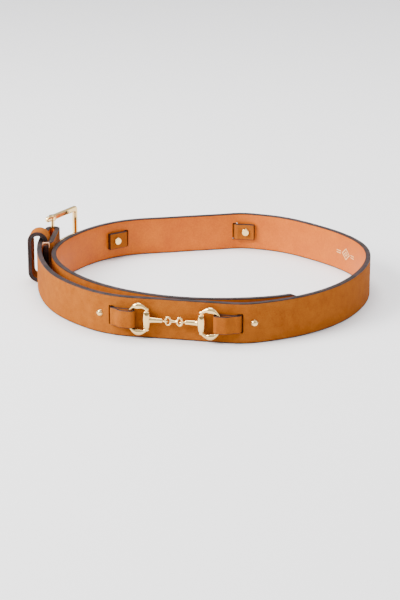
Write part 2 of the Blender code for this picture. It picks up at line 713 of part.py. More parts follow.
def make_buckle(coil, parts, cutters, materials):
    """Frame, bar and prong, each with its origin on the bar's axis."""
    hinge = bpy.data.objects.new("buckle_hinge", None)
    parts.objects.link(hinge)
    hinge.location = (*coil.bar, 0.0)
    hinge.rotation_euler = (0, 0, coil.bar_heading + math.radians(FRAME_SWING))

    frame = link_object("buckle_frame", flat_shape([frame_outline()], RAIL_THICKNESS), parts,
                        materials["gold"])
    frame.data.transform(Matrix.Rotation(math.pi / 2, 4, "X"))
    soften(frame, 0.5 * MM, 2)
    through = RAIL_WIDTH + 1 * MM
    for rail_low, hole_low in ((0.0, BAR_INSET - BAR_EASE),
                               (FRAME_HEIGHT - RAIL_WIDTH, FRAME_HEIGHT - through)):
        hole_high = hole_low + through - BAR_INSET + BAR_EASE
        boss = cylinder_mesh(BOSS_RADIUS, rail_low + BOSS_INSET,
                             rail_low + RAIL_WIDTH - BOSS_INSET, 28)
        boolean(frame, boss, "UNION", cutters)
        hole = cylinder_mesh(BAR_RADIUS + BAR_EASE, hole_low, hole_high, 20)
        boolean(frame, hole, "DIFFERENCE", cutters)
    bar_mesh = cylinder_mesh(BAR_RADIUS, BAR_INSET, FRAME_HEIGHT - BAR_INSET, 24)
    bar = link_object("buckle_bar", bar_mesh, parts, materials["gold"])
    prong = link_object("buckle_prong", flat_shape(prong_outlines(), PRONG_WIDTH), parts,
                        materials["gold"])
    prong_height = BAR_RISE + STRAP_WIDTH / 2
    for made in (frame, bar, prong):
        made.parent = hinge
        for tool in [step.object for step in made.modifiers if step.type == "BOOLEAN"]:
            tool.parent = hinge
        shade_smooth(made)
    prong.location = (0, 0, prong_height)
    soften(prong, 0.35 * MM, 2, 50)


def frame_outline():
    """The buckle frame from the side, as (reach from the bar, height) points."""
    top = FRAME_HEIGHT
    inside = FRAME_REACH - RAIL_WIDTH
    outer = FRAME_OUTER_CORNER
    inner = FRAME_INNER_CORNER
    lug = RAIL_WIDTH / 2
    points = arc_points((FRAME_REACH - outer, outer), outer, 270, 360, 6)
    points += arc_points((FRAME_REACH - outer, top - outer), outer, 0, 90, 6)
    points += arc_points((-LUG_REACH + lug, top - RAIL_WIDTH / 2), lug, 90, 270, 9)
    points += arc_points((inside - inner, top - RAIL_WIDTH - inner), inner, 90, 0, 4)
    points += arc_points((inside - inner, RAIL_WIDTH + inner), inner, 0, -90, 4)
    points += arc_points((-LUG_REACH + lug, RAIL_WIDTH / 2), lug, 90, 270, 9)
    return points


def prong_outlines():
    """The prong from above: a ring round the bar and a tongue resting on the far rail."""
    hole = BAR_RADIUS + PRONG_EASE
    outer = hole + PRONG_EYE_WALL
    rest = RAIL_THICKNESS / 2 + PRONG_EASE
    before_rail = FRAME_REACH - RAIL_WIDTH - 3 * MM
    tip = FRAME_REACH + 1.2 * MM
    # the tongue leaves the eye low, then climbs onto the far rail and ends in a blunt tip
    under = [(2.6 * MM, -0.8 * MM), (7 * MM, 0.0), (before_rail, rest), (tip, rest)]
    over = [(tip + 0.7 * MM, rest + 0.5 * MM), (tip + 0.7 * MM, rest + 1.1 * MM),
            (tip - 0.6 * MM, rest + PRONG_THICKNESS), (before_rail, rest + PRONG_THICKNESS),
            (9 * MM, 2.4 * MM), (3.6 * MM, 2.1 * MM)]
    start = math.degrees(math.atan2(over[-1][1], over[-1][0])) + 12
    finish = 360 + math.degrees(math.atan2(under[0][1], under[0][0])) - 12
    around = arc_points((0, 0), outer, start, finish, 22)
    return [around + under + over, circle_outline((0, 0), hole, 24)]


# ---------------------------------------------------------------- keeper and stitches

def make_keeper(coil, parts, materials):
    """A thick leather loop round the outer layer, passing in behind it, before the fold-back."""
    along = coil.to_bar - KEEPER_FROM_BAR
    _, heading, _ = coil.frame(along)
    inner_side = -(HALF_STRAP + KEEPER_GAP)
    outer_side = HALF_STRAP + KEEPER_STANDOFF
    width = outer_side - inner_side
    top = KEEPER_TOP - KEEPER_THICKNESS
    bottom = KEEPER_BOTTOM + KEEPER_THICKNESS
    outer = stadium(inner_side - KEEPER_THICKNESS, outer_side + KEEPER_THICKNESS, KEEPER_BOTTOM,
                    KEEPER_TOP, width / 2 + KEEPER_THICKNESS, KEEPER_NEAR_CORNER, KEEPER_FAR_CORNER)
    inner = stadium(inner_side, outer_side, bottom, top, width / 2, FIT_GAP,
                    KEEPER_FAR_CORNER - KEEPER_THICKNESS)
    mesh = flat_shape([outer, inner], KEEPER_WIDTH)
    # the outline's x runs outward and its y upward; the plate's thickness runs along the strap
    mesh.transform(Matrix(((0, 0, 1), (1, 0, 0), (0, 1, 0))).to_4x4())
    keeper = link_object("keeper", mesh, parts, materials["suede"])
    point = coil.point(along)
    keeper.location = (point[0], point[1], 0.0)
    keeper.rotation_euler = (0, 0, math.atan2(heading[1], heading[0]))
    soften(keeper, 0.4 * MM, 2, 50)
    shade_smooth(keeper)


def stadium(left, right, low, high, top_radius, near_radius, far_radius):
    """An upright outline with a round top and two different round lower corners."""
    top_radius = min(top_radius, (right - left) / 2)
    points = arc_points((right - top_radius, high - top_radius), top_radius, 0, 90, 9)
    points += arc_points((left + top_radius, high - top_radius), top_radius, 90, 180, 9)[1:]
    points += arc_points((left + near_radius, low + near_radius), near_radius, 180, 270, 5)
    points += arc_points((right - far_radius, low + far_radius), far_radius, 270, 360, 8)
    return points


def make_tacks(coil, parts, materials):
    """Thread over the upper and lower edges of the fold-back, near its end."""
    along = coil.to_bar - TACK_FROM_BAR
    outside = -HALF_STRAP - FOLD_END_GAP / 2
    inside = -fold_spread(TACK_FROM_BAR) - HALF_STRAP - THREAD_RADIUS - THREAD_EASE
    middle = (outside + inside) / 2
    reach = (outside - inside) / 2
    # half of the loop, as (in from the end of the loop, up from the strap's edge)
    side = [(0.0, -3.0 * MM), (0.0, 0.1 * MM), (0.4 * MM, 0.6 * MM), (1.0 * MM, 0.8 * MM)]
    for name, edge, sign in (("upper_tack", STRAP_WIDTH, 1), ("lower_tack", 0.0, -1)):
        route = [(middle + reach - inset, edge + sign * above) for inset, above in side]
        route += [(middle - reach + inset, edge + sign * above) for inset, above in side[::-1]]
        points = [coil.bend(along, outward, height) for outward, height in route]
        link = wire_mesh(points, [THREAD_RADIUS] * len(points))
        shade_smooth(link_object(name, link, parts, materials["thread"]))


def main():
    clear_scene()
    parts = new_collection("leather_belt")
    cutters = new_collection("leather_belt_cutters", cutter=True)
    materials = {
        "suede": new_material("suede", SUEDE, 0.9),
        "lining": new_material("lining", LINING, 0.55),
        "thread": new_material("thread", THREAD, 0.8),
        "gold": new_material("gold", GOLD, 0.18, 1.0),
    }
    coil = Coil()
    make_strap(coil, parts, materials)
    for bit, place in bit_places(coil).items():
        make_bit(bit, coil, place, parts, cutters, materials)
    make_buckle(coil, parts, cutters, materials)
    make_keeper(coil, parts, materials)
    make_tacks(coil, parts, materials)


main()
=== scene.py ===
from math import atan2, cos, degrees, exp, pi, radians, sin

import bmesh
import bpy
import numpy as np
from mathutils import Matrix, Vector


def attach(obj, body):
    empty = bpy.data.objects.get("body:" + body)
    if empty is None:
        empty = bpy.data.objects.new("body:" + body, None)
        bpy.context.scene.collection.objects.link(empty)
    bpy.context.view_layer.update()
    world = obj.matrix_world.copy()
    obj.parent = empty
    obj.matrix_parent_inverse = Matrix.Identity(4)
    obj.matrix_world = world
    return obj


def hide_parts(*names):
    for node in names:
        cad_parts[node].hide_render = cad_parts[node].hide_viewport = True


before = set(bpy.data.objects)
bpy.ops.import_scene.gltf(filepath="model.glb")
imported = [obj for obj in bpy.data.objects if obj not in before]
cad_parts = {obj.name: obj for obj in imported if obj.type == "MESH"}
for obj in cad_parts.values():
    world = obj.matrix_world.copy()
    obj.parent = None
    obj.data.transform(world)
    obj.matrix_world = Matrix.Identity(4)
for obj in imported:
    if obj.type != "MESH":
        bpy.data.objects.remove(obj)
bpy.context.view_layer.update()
print("frame loaded:", len(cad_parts), "nodes")

mm = 0.001


def lengths(**sizes):
    return {name: size * mm for name, size in sizes.items()}


# ---- shape of the belt, the same numbers as the CAD part

strap = {"holes": 5,
         **lengths(width=30.0, half=1.9, gap=0.3, firstHole=68.0, holeStep=25.0, holeRadius=1.9,
                   prongSlot=5.4, slotBefore=17.0, slotAfter=12.0)}

fold = lengths(radius=3.8, back=46.5, endGap=1.2, closing=4.5, riseStart=120.0, riseEnd=25.0,
               rise=4.8)

keeper = lengths(width=15.0, thickness=3.4, fromBar=30.0, standoff=5.0, gap=0.6, top=41.6,
                 bottom=0.4)

coilPoints = [
    (86, -87), (70, -100), (46, -109), (20, -112), (-8, -110), (-40, -99), (-68, -80),
    (-90, -55), (-106, -24), (-112, 6), (-107, 38), (-92, 68), (-70, 92),
    (-50, 102), (-32, 105.9), (-14, 109.8), (4, 113.7), (22, 117.6),
    (36, 120.2), (49, 117.2), (66, 110), (93, 87), (116, 58), (130, 24), (130, -14), (119, -50),
    (99, -83), (72, -107), (48, -119), (33, -122.8),
    (19, -121.3), (1, -117.5), (-17, -113.7), (-35, -109.9), (-53, -106.1),
    (-68, -99), (-84, -85), (-104, -58), (-117, -28), (-123, 2), (-123, 32), (-120.5, 58),
]
coilShift = (0.5, 2.0)


def naturalSpline(points, step):
    knots = np.array(points, dtype=float)
    chord = np.linalg.norm(np.diff(knots, axis=0), axis=1)
    t = np.concatenate([[0.0], np.cumsum(chord)])
    count = len(knots)
    matrix = np.zeros((count, count))
    right = np.zeros((count, 2))
    matrix[0, 0] = 1.0
    matrix[-1, -1] = 1.0
    for i in range(1, count - 1):
        before, after = chord[i - 1], chord[i]
        matrix[i, i - 1] = before
        matrix[i, i] = 2 * (before + after)
        matrix[i, i + 1] = after
        right[i] = 6 * ((knots[i + 1] - knots[i]) / after - (knots[i] - knots[i - 1]) / before)
    second = np.linalg.solve(matrix, right)
    samples = np.linspace(0.0, t[-1], int(t[-1] / step) + 1)
    span = np.clip(np.searchsorted(t, samples, side="right") - 1, 0, count - 2)
    width = chord[span]
    a = ((t[span + 1] - samples) / width)[:, None]
    b = ((samples - t[span]) / width)[:, None]
    bend = (a ** 3 - a) * second[span] + (b ** 3 - b) * second[span + 1]
    return a * knots[span] + b * knots[span + 1] + bend * (width[:, None] ** 2) / 6


def smoothStep(value):
    value = np.clip(value, 0.0, 1.0)
    return value * value * (3 - 2 * value)


def tangents(line, closed=False):
    if closed:
        rate = np.roll(line, -1, axis=0) - np.roll(line, 1, axis=0)
    else:
        rate = np.gradient(line, axis=0)
    return rate / np.linalg.norm(rate, axis=1)[:, None]


def leftOf(rate):
    return np.stack([-rate[:, 1], rate[:, 0]], axis=1)


def runLengths(line):
    return np.concatenate([[0.0], np.cumsum(np.linalg.norm(np.diff(line, axis=0), axis=1))])


def foldSpread(behind):
    thick = 2 * strap["half"]
    atKeeper = thick + keeper["thickness"] + 2 * keeper["gap"]
    atEnd = thick + fold["endGap"]
    opening = smoothStep(behind / (keeper["fromBar"] - keeper["width"] / 2))
    pastKeeper = behind - keeper["fromBar"] - keeper["width"] / 2
    closing = smoothStep((pastKeeper - strap["gap"]) / fold["closing"])
    wide = 2 * fold["radius"]
    return wide + (atKeeper - wide) * opening + (atEnd - atKeeper) * closing


def makeCoil():
    step = 0.5
    line = (naturalSpline(coilPoints, step) + coilShift) * mm
    heading = tangents(line)
    side = leftOf(heading)
    bar = line[-1] - side[-1] * fold["radius"]
    turn = atan2(heading[-1, 1], heading[-1, 0])
    angles = np.linspace(pi / 2, -pi / 2, 25)[1:] + turn
    bend = bar + np.stack([np.cos(angles), np.sin(angles)], axis=1) * fold["radius"]
    run = runLengths(line)
    behind = run[-1] - run
    back = np.nonzero((behind > step * mm / 2) & (behind < fold["back"]))[0][::-1]
    returned = line[back] - side[back] * foldSpread(behind[back])[:, None]
    whole = np.concatenate([line, bend, returned])
    total = runLengths(whole)
    return {"bar": bar, "turn": turn, "toBar": run[-1], "run": total, "line": whole,
            "heading": tangents(whole), "apex": run[-1] + fold["radius"] * pi / 2,
            "length": total[-1]}


coil = makeCoil()
middle = strap["width"] / 2


def coilFrame(along):
    along = np.atleast_1d(along)
    point = np.stack([np.interp(along, coil["run"], coil["line"][:, k]) for k in (0, 1)], axis=1)
    heading = np.stack([np.interp(along, coil["run"], coil["heading"][:, k]) for k in (0, 1)], axis=1)
    heading /= np.linalg.norm(heading, axis=1)[:, None]
    return point, heading, leftOf(heading)


def riseAt(along):
    beforeFold = np.minimum(along, 2 * coil["apex"] - along)
    climbed = beforeFold - (coil["toBar"] - fold["riseStart"])
    return fold["rise"] * smoothStep(climbed / (fold["riseStart"] - fold["riseEnd"]))


def bendPoints(flat):
    # (along, outward, up) on the flat strap to its place on the coil
    flat = np.asarray(flat, dtype=float)
    point, _, side = coilFrame(flat[:, 0])
    plan = point + side * flat[:, 1:2]
    return np.column_stack([plan, flat[:, 2] + riseAt(flat[:, 0])])


def bendMesh(mesh):
    flat = np.empty(len(mesh.vertices) * 3)
    mesh.vertices.foreach_get("co", flat)
    flat = flat.reshape(-1, 3)
    mesh.vertices.foreach_set("co", bendPoints(flat).ravel())
    mesh.update()


# ---- mesh helpers

def fixNormals(mesh):
    work = bmesh.new()
    work.from_mesh(mesh)
    bmesh.ops.remove_doubles(work, verts=work.verts, dist=1e-6)
    bmesh.ops.recalc_face_normals(work, faces=work.faces)
    work.to_mesh(mesh)
    work.free()
    return mesh


def skinFaces(rows, size, closedRows, closedLoop):
    faces = []
    for i in range(rows if closedRows else rows - 1):
        a = i * size
        b = ((i + 1) % rows) * size
        for j in range(size if closedLoop else size - 1):
            k = (j + 1) % size
            faces.append((a + j, a + k, b + k, b + j))
    return faces


def meshFrom(name, points, faces):
    mesh = bpy.data.meshes.new(name)
    mesh.from_pydata(points.reshape(-1, 3).tolist(), [], faces)
    return fixNormals(mesh)


def loopMesh(name, loops, closed=False):
    # a skin over a row of equal loops, capped when the row is open
    loops = np.asarray(loops)
    rows, size = loops.shape[:2]
    faces = skinFaces(rows, size, closed, True)
    if not closed:
        faces.append(tuple(range(size))[::-1])
        faces.append(tuple((rows - 1) * size + j for j in range(size)))
    return meshFrom(name, loops, faces)


def joinMeshes(name, meshes):
    work = bmesh.new()
    for mesh in meshes:
        work.from_mesh(mesh)
    joined = bpy.data.meshes.new(name)
    work.to_mesh(joined)
    work.free()
    for mesh in meshes:
        bpy.data.meshes.remove(mesh)
    return joined


def linked(name, data):
    made = bpy.data.objects.new(name, data)
    bpy.context.scene.collection.objects.link(made)
    return made


def evaluated(holder):
    graph = bpy.context.evaluated_depsgraph_get()
    return bpy.data.meshes.new_from_object(holder.evaluated_get(graph))


def planarTube(name, points, radii, sides, closed, flatten=1.0):
    # a round bar along a path in the XZ plane
    line = np.array(points, dtype=float)
    normal = leftOf(tangents(line, closed))
    loops = []
    for place, out, radius in zip(line, normal, radii):
        angles = np.arange(sides) * 2 * pi / sides
        inPlane = np.cos(angles) * radius
        across = np.sin(angles) * radius * flatten
        loops.append(np.column_stack([place[0] + out[0] * inPlane, across, place[1] + out[1] * inPlane]))
    return loopMesh(name, loops, closed)


def turned(name, profile, segments=32, closed=False):
    # a solid of revolution about Z from (radius, height) pairs
    radius, height = np.array(profile, dtype=float).T
    loops = []
    for k in range(segments):
        angle = 2 * pi * k / segments
        loops.append(np.column_stack([radius * cos(angle), radius * sin(angle), height]))
    return meshFrom(name, np.array(loops), skinFaces(segments, len(profile), True, closed))


def plate(name, outlines, thickness, bevel, steps=4):
    # filled outlines in the XY plane with a thickness along Z and rounded rims
    curve = bpy.data.curves.new(name, "CURVE")
    curve.dimensions = "2D"
    curve.fill_mode = "BOTH"
    curve.extrude = thickness / 2 - bevel
    curve.bevel_depth = bevel
    curve.bevel_resolution = steps
    curve.offset = -bevel
    for outline in outlines:
        spline = curve.splines.new("POLY")
        spline.points.add(len(outline) - 1)
        for point, (x, y) in zip(spline.points, outline):
            point.co = (x, y, 0.0, 1.0)
        spline.use_cyclic_u = True
    holder = linked(name, curve)
    mesh = evaluated(holder)
    bpy.data.objects.remove(holder, do_unlink=True)
    bpy.data.curves.remove(curve)
    return fixNormals(mesh)


def arc(centre, radius, start, end, count):
    angles = np.radians(np.linspace(start, end, count))
    return [(centre[0] + radius * cos(a), centre[1] + radius * sin(a)) for a in angles]


def roundedBox(low, high, radius, steps=5):
    left, right = low[0] + radius, high[0] - radius
    lower, upper = low[1] + radius, high[1] - radius
    return (arc((right, upper), radius, 0, 90, steps) + arc((left, upper), radius, 90, 180, steps)
            + arc((left, lower), radius, 180, 270, steps) + arc((right, lower), radius, 270, 360, steps))


def resample(points, step, closed=False):
    line = np.array(points, dtype=float)
    if closed:
        line = np.vstack([line, line[:1]])
    run = runLengths(line)
    count = max(2, int(round(run[-1] / step)) + 1)
    at = np.linspace(0.0, run[-1], count)
    if closed:
        at = at[:-1]
    return np.stack([np.interp(at, run, line[:, k]) for k in range(line.shape[1])], axis=1)


def piece(name, mesh, materials, body, nodes=(), angle=40.0):
    made = linked(name, mesh)
    mesh.materials.clear()
    for material in materials:
        mesh.materials.append(material)
    mesh.polygons.foreach_set("use_smooth", [True] * len(mesh.polygons))
    mesh.set_sharp_from_angle(angle=radians(angle))
    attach(made, body)
    if nodes:
        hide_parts(*nodes)


# ---- node helpers

def newGroup(name, kind, inputs, outputs):
    # sockets are given as {label: kind}, such as {"Width": "Float"}
    group = bpy.data.node_groups.new(name, kind)
    for way, sockets in (("INPUT", inputs), ("OUTPUT", outputs)):
        for label, socketKind in sockets.items():
            group.interface.new_socket(name=label, in_out=way, socket_type="NodeSocket" + socketKind)
    group.nodes.new("NodeGroupInput")
    group.nodes.new("NodeGroupOutput")
    return group


def addNode(tree, kind, settings=(), links=()):
    node = tree.nodes.new(kind)
    for key, value in dict(settings).items():
        setattr(node, key, value)
    for socket, value in dict(links).items():
        target = node.inputs[socket]
        if isinstance(value, bpy.types.NodeSocket):
            tree.links.new(value, target)
        else:
            target.default_value = value
    return node


def endGroup(group, geometry):
    real = addNode(group, "GeometryNodeRealizeInstances", {}, {"Geometry": geometry})
    coat = group.nodes["Group Input"].outputs["Material"]
    done = addNode(group, "GeometryNodeSetMaterial", {}, {"Geometry": real.outputs[0], "Material": coat})
    group.links.new(done.outputs[0], group.nodes["Group Output"].inputs[0])
    return group


def runNodes(source, group, values):
    step = source.modifiers.new("build", "NODES")
    step.node_group = group
    for item in group.interface.items_tree:
        if item.item_type == "SOCKET" and item.in_out == "INPUT" and item.name in values:
            step[item.identifier] = values[item.name]
    mesh = evaluated(source)
    bpy.data.objects.remove(source, do_unlink=True)
    return mesh


def sideVectors(along):
    side = coilFrame(along)[2]
    return np.column_stack([side, np.zeros(len(side))])


def pathHolder(name, points, closed, across=None):
    count = len(points)
    edges = [(i, (i + 1) % count) for i in range(count if closed else count - 1)]
    mesh = bpy.data.meshes.new(name)
    mesh.from_pydata(np.asarray(points).tolist(), edges, [])
    if across is not None:
        own = mesh.attributes.new("across", "FLOAT_VECTOR", "POINT")
        own.data.foreach_set("vector", np.asarray(across, dtype=float).ravel())
    return linked(name, mesh)


# ---- materials

def rgba(colour):
    return (*colour, 1.0)


def noise(tree, vector, scale, detail, roughness=0.5, distortion=0.0):
    return addNode(tree, "ShaderNodeTexNoise", {},
                   {"Vector": vector, "Scale": scale, "Detail": detail, "Roughness": roughness,
                    "Distortion": distortion}).outputs[0]


def spread(tree, value, source, target=(0.0, 1.0), kind="LINEAR"):
    return addNode(tree, "ShaderNodeMapRange", {"interpolation_type": kind},
                   {"Value": value, "From Min": source[0], "From Max": source[1],
                    "To Min": target[0], "To Max": target[1]}).outputs[0]


def mixed(tree, factor, first, second, blend="MIX"):
    return addNode(tree, "ShaderNodeMix", {"data_type": "RGBA", "blend_type": blend},
                   {"Factor": factor, 6: first, 7: second}).outputs[2]


def makeLeatherGroup():
    # tone and height of a napped hide: mottling, grain and soft rubbed patches
    group = newGroup("leatherGrain", "ShaderNodeTree",
                     {"Vector": "Vector", "Grain Scale": "Float", "Mottle Scale": "Float",
                      "Rub Scale": "Float"},
                     {"Tone": "Float", "Rub": "Float", "Height": "Float"})
    start = group.nodes["Group Input"].outputs
    grain = noise(group, start["Vector"], start["Grain Scale"], 5.0, 0.65)
    mottle = noise(group, start["Vector"], start["Mottle Scale"], 4.0, 0.6)
    rub = noise(group, start["Vector"], start["Rub Scale"], 2.0, 0.5, 0.6)
    fine = addNode(group, "ShaderNodeMath", {"operation": "MULTIPLY"}, {0: grain, 1: 0.6})
    tone = addNode(group, "ShaderNodeMath", {"operation": "MULTIPLY_ADD"},
                   {0: mottle, 1: 0.4, 2: fine.outputs[0]})
    end = group.nodes["Group Output"]
    group.links.new(spread(group, tone.outputs[0], (0.36, 0.64)), end.inputs["Tone"])
    group.links.new(spread(group, rub, (0.38, 0.66), kind="SMOOTHSTEP"), end.inputs["Rub"])
    group.links.new(grain, end.inputs["Height"])
    return group


leatherGroup = makeLeatherGroup()


def shaderBase(name):
    made = bpy.data.materials.new(name)
    made.use_nodes = True
    return made, made.node_tree, made.node_tree.nodes["Principled BSDF"]


def joinShader(tree, shader, colour, rough, look, height):
    bump = addNode(tree, "ShaderNodeBump", {}, {"Strength": look["bump"], "Distance": look["depth"],
                   "Height": height})
    tree.links.new(colour, shader.inputs["Base Color"])
    if rough:
        tree.links.new(rough, shader.inputs["Roughness"])
    tree.links.new(bump.outputs[0], shader.inputs["Normal"])


def leatherMaterial(name, look):
    made, tree, shader = shaderBase(name)
    place = addNode(tree, "ShaderNodeTexCoord")
    grain = addNode(tree, "ShaderNodeGroup", {"node_tree": leatherGroup},
                    {"Vector": place.outputs["Object"], "Grain Scale": look["grain"],
                     "Mottle Scale": look["mottle"], "Rub Scale": look["rub"]}).outputs
    base = mixed(tree, grain["Tone"], rgba(look["dark"]), rgba(look["light"]))
    rubbed = mixed(tree, grain["Rub"], base, rgba(look["rubTint"]), "MULTIPLY")
    rough = spread(tree, grain["Tone"], (0.0, 1.0),
                   (look["roughness"] - look["vary"], look["roughness"] + look["vary"]))
    joinShader(tree, shader, rubbed, rough, look, grain["Height"])
    shader.inputs["Sheen Weight"].default_value = look["sheen"]
    shader.inputs["Sheen Roughness"].default_value = 0.5
    shader.inputs["Sheen Tint"].default_value = rgba(look["light"])
    shader.inputs["Specular IOR Level"].default_value = look["specular"]
    return made


nubuckLook = {
    "dark": (0.225, 0.058, 0.0054), "light": (0.345, 0.102, 0.0112), "rubTint": (0.93, 0.88, 0.80),
    "grain": 1500.0, "mottle": 170.0, "rub": 24.0, "roughness": 0.88, "bump": 0.55,
    "depth": 0.00022, "sheen": 0.03, "specular": 0.06, "vary": 0.05,
}
liningLook = {
    "dark": (0.45, 0.090, 0.0012), "light": (0.58, 0.138, 0.0026), "rubTint": (0.94, 0.88, 0.82),
    "grain": 700.0, "mottle": 90.0, "rub": 16.0, "roughness": 0.48, "bump": 0.22,
    "depth": 0.00012, "sheen": 0.0, "specular": 0.22, "vary": 0.05,
}
nubuck = leatherMaterial("nubuck", nubuckLook)
lining = leatherMaterial("smoothLining", liningLook)

edgeLook = {"dark": (0.007, 0.0032, 0.0030), "light": (0.034, 0.014, 0.012), "roughness": 0.55,
            "vary": 0.12, "specular": 0.26, "streak": 2600.0 / 3, "stretch": (0.55, 0.55, 1.0),
            "broad": 130.0, "bump": 0.35, "depth": 0.00010}


def edgeMaterial():
    made, tree, shader = shaderBase("edgePaint")
    flow = addNode(tree, "ShaderNodeTexCoord").outputs["Object"]
    drawn = addNode(tree, "ShaderNodeMapping", {}, {"Vector": flow, "Scale": edgeLook["stretch"]})
    streak = noise(tree, drawn.outputs[0], edgeLook["streak"], 4.0, 0.6)
    broad = noise(tree, flow, edgeLook["broad"], 3.0)
    both = addNode(tree, "ShaderNodeMath", {"operation": "MULTIPLY"}, {0: streak, 1: broad})
    base = mixed(tree, spread(tree, both.outputs[0], (0.17, 0.36)), rgba(edgeLook["dark"]),
                 rgba(edgeLook["light"]))
    rough = spread(tree, streak, (0.0, 1.0), (edgeLook["roughness"] - edgeLook["vary"],
                                              edgeLook["roughness"] + edgeLook["vary"]))
    joinShader(tree, shader, base, rough, edgeLook, streak)
    shader.inputs["Specular IOR Level"].default_value = edgeLook["specular"]
    return made


edgePaint = edgeMaterial()


def metalMaterial(name, look):
    made, tree, shader = shaderBase(name)
    place = addNode(tree, "ShaderNodeTexCoord").outputs["Object"]
    cloud = noise(tree, place, look["cloud"], 3.0)
    rough = spread(tree, cloud, (0.3, 0.7), (look["polish"], look["haze"]))
    tint = mixed(tree, cloud, rgba(look["deep"]), rgba(look["pale"]))
    joinShader(tree, shader, tint, rough, look, noise(tree, place, look["fine"], 3.0))
    shader.inputs["Metallic"].default_value = 1.0
    return made


goldLook = {"deep": (0.80, 0.53, 0.20), "pale": (0.90, 0.66, 0.30), "polish": 0.04, "haze": 0.11,
            "cloud": 180.0, "fine": 2400.0, "bump": 0.10, "depth": 0.00003}
foilLook = {"deep": (0.80, 0.56, 0.26), "pale": (0.95, 0.76, 0.42), "polish": 0.26, "haze": 0.42,
            "cloud": 700.0, "fine": 1800.0, "bump": 0.35, "depth": 0.00003}
gold = metalMaterial("paleGold", goldLook)
foil = metalMaterial("goldFoil", foilLook)

threadLook = {"dark": (0.50, 0.205, 0.085), "light": (0.80, 0.42, 0.23), "twist": 900.0,
              "roughness": 0.75, "bump": 0.6, "depth": 0.00012}


def threadMaterial():
    made, tree, shader = shaderBase("tackThread")
    place = addNode(tree, "ShaderNodeTexCoord").outputs["Object"]
    wave = addNode(tree, "ShaderNodeTexWave", {"wave_type": "BANDS", "bands_direction": "DIAGONAL"},
                   {"Vector": place, "Scale": threadLook["twist"], "Distortion": 1.5, "Detail": 2.0})
    ply = wave.outputs[1]
    base = mixed(tree, ply, rgba(threadLook["dark"]), rgba(threadLook["light"]))
    joinShader(tree, shader, base, None, threadLook, ply)
    shader.inputs["Roughness"].default_value = threadLook["roughness"]
    return made


thread = threadMaterial()
print("materials made")

# ---- strap: nubuck face and smooth lining, cut flat and bent along the coil

sheetCut = {"acrossRows": 14, "tipRows": (0.4, 0.7, 1.0, 1.6, 2.2, 3.1, 4.0),
            **lengths(step=1.5, foldStep=0.5, edgeInset=0.35, edgeRound=0.35, slotCorner=0.8,
                      rivetHole=1.3, plugReach=3, seam=0.02)}
tip = {"along": (0.0, 0.35, 1.0, 2.2, 4.0, 24.0), "half": (1.7, 2.7, 3.7, 4.9, 6.0, 15.0),
       "bead": ((0.55, -1.3), (0.65, -2.2), (1.25, -3.35), (2.45, -4.5))}
bits = {"front": coil["toBar"] - 229.0 * mm, "rear": coil["toBar"] - 666.2 * mm}
bit = lengths(standoff=5.6, tabWidth=13.0, tabThickness=1.3, tabFold=28.8, tabCrest=36.8,
              tabOver=1.85, tabEnd=64.6, slotOut=46.95, slotHeight=14.4, slotWidth=4.7,
              rivetOut=57.0, ringBar=20.1, ringFar=34.0, ringCentre=25.6, ringHalf=9.85,
              pinHalf=7.9, barrelHalf=6.4, barrel=3.15, barrelEnd=2.25, bore=1.5, loopOut=6.1,
              loop=1.8, loopWire=0.55, eyeOut=4.25, eyeHalfWidth=1.9, eyeHalfHeight=2.85,
              eyeWire=0.8)


def halfHeight(along):
    # half the strap's height, narrowing to its rounded tip
    return np.interp(along, np.array(tip["along"]) * mm, np.array(tip["half"]) * mm)


def sheetStations():
    start = [s * mm for s in sheetCut["tipRows"]]
    body = np.arange(5.5 * mm, coil["toBar"] - 5 * mm, sheetCut["step"])
    last = coil["length"] - sheetCut["edgeInset"]
    end = np.arange(coil["toBar"] - 5 * mm, last - 0.2 * mm, sheetCut["foldStep"])
    return np.concatenate([start, body, end, [last]])


def flatSheet(name, inner, outer):
    inset = sheetCut["edgeInset"]
    radius = min(sheetCut["edgeRound"], (outer - inner) / 2.2)
    loops = []
    for along in sheetStations():
        half = halfHeight(along) - inset
        rows = np.linspace(-half + radius, half - radius, sheetCut["acrossRows"])
        high, low = half - radius, -half + radius
        loop = [(outer, z) for z in rows]
        loop += arc((outer - radius, high), radius, 0, 90, 4)[1:]
        loop += arc((inner + radius, high), radius, 90, 180, 4)[:-1]
        loop += [(inner, z) for z in rows[::-1]]
        loop += arc((inner + radius, low), radius, 180, 270, 4)[1:]
        loop += arc((outer - radius, low), radius, 270, 360, 4)[:-1]
        loops.append([(along, y, middle + z) for y, z in loop])
    return loopMesh(name, np.array(loops))


def slotCutters():
    # punched holes, tab slots, rivet holes and the prong's slot, as upright plugs
    outlines = []
    for k in range(strap["holes"]):
        centre = (strap["firstHole"] + k * strap["holeStep"], middle)
        outlines.append(arc(centre, strap["holeRadius"], 0, 350, 36))
    for place in bits.values():
        for sign in (-1, 1):
            at, rivetAt = place + sign * bit["slotOut"], place + sign * bit["rivetOut"]
            across, up = bit["slotWidth"] / 2, bit["slotHeight"] / 2
            outlines.append(roundedBox((at - across, middle - up), (at + across, middle + up),
                                       sheetCut["slotCorner"]))
            outlines.append(arc((rivetAt, middle), sheetCut["rivetHole"], 0, 345, 24))
    wide = strap["prongSlot"] / 2
    outlines.append(roundedBox((coil["apex"] - strap["slotBefore"], middle - wide),
                               (coil["apex"] + strap["slotAfter"], middle + wide), wide * 0.98, 10))
    reach = sheetCut["plugReach"]
    return joinMeshes("plugs", [loopMesh("plug", [[(x, y, z) for x, z in outline]
                                                  for y in (-reach, reach)]) for outline in outlines])


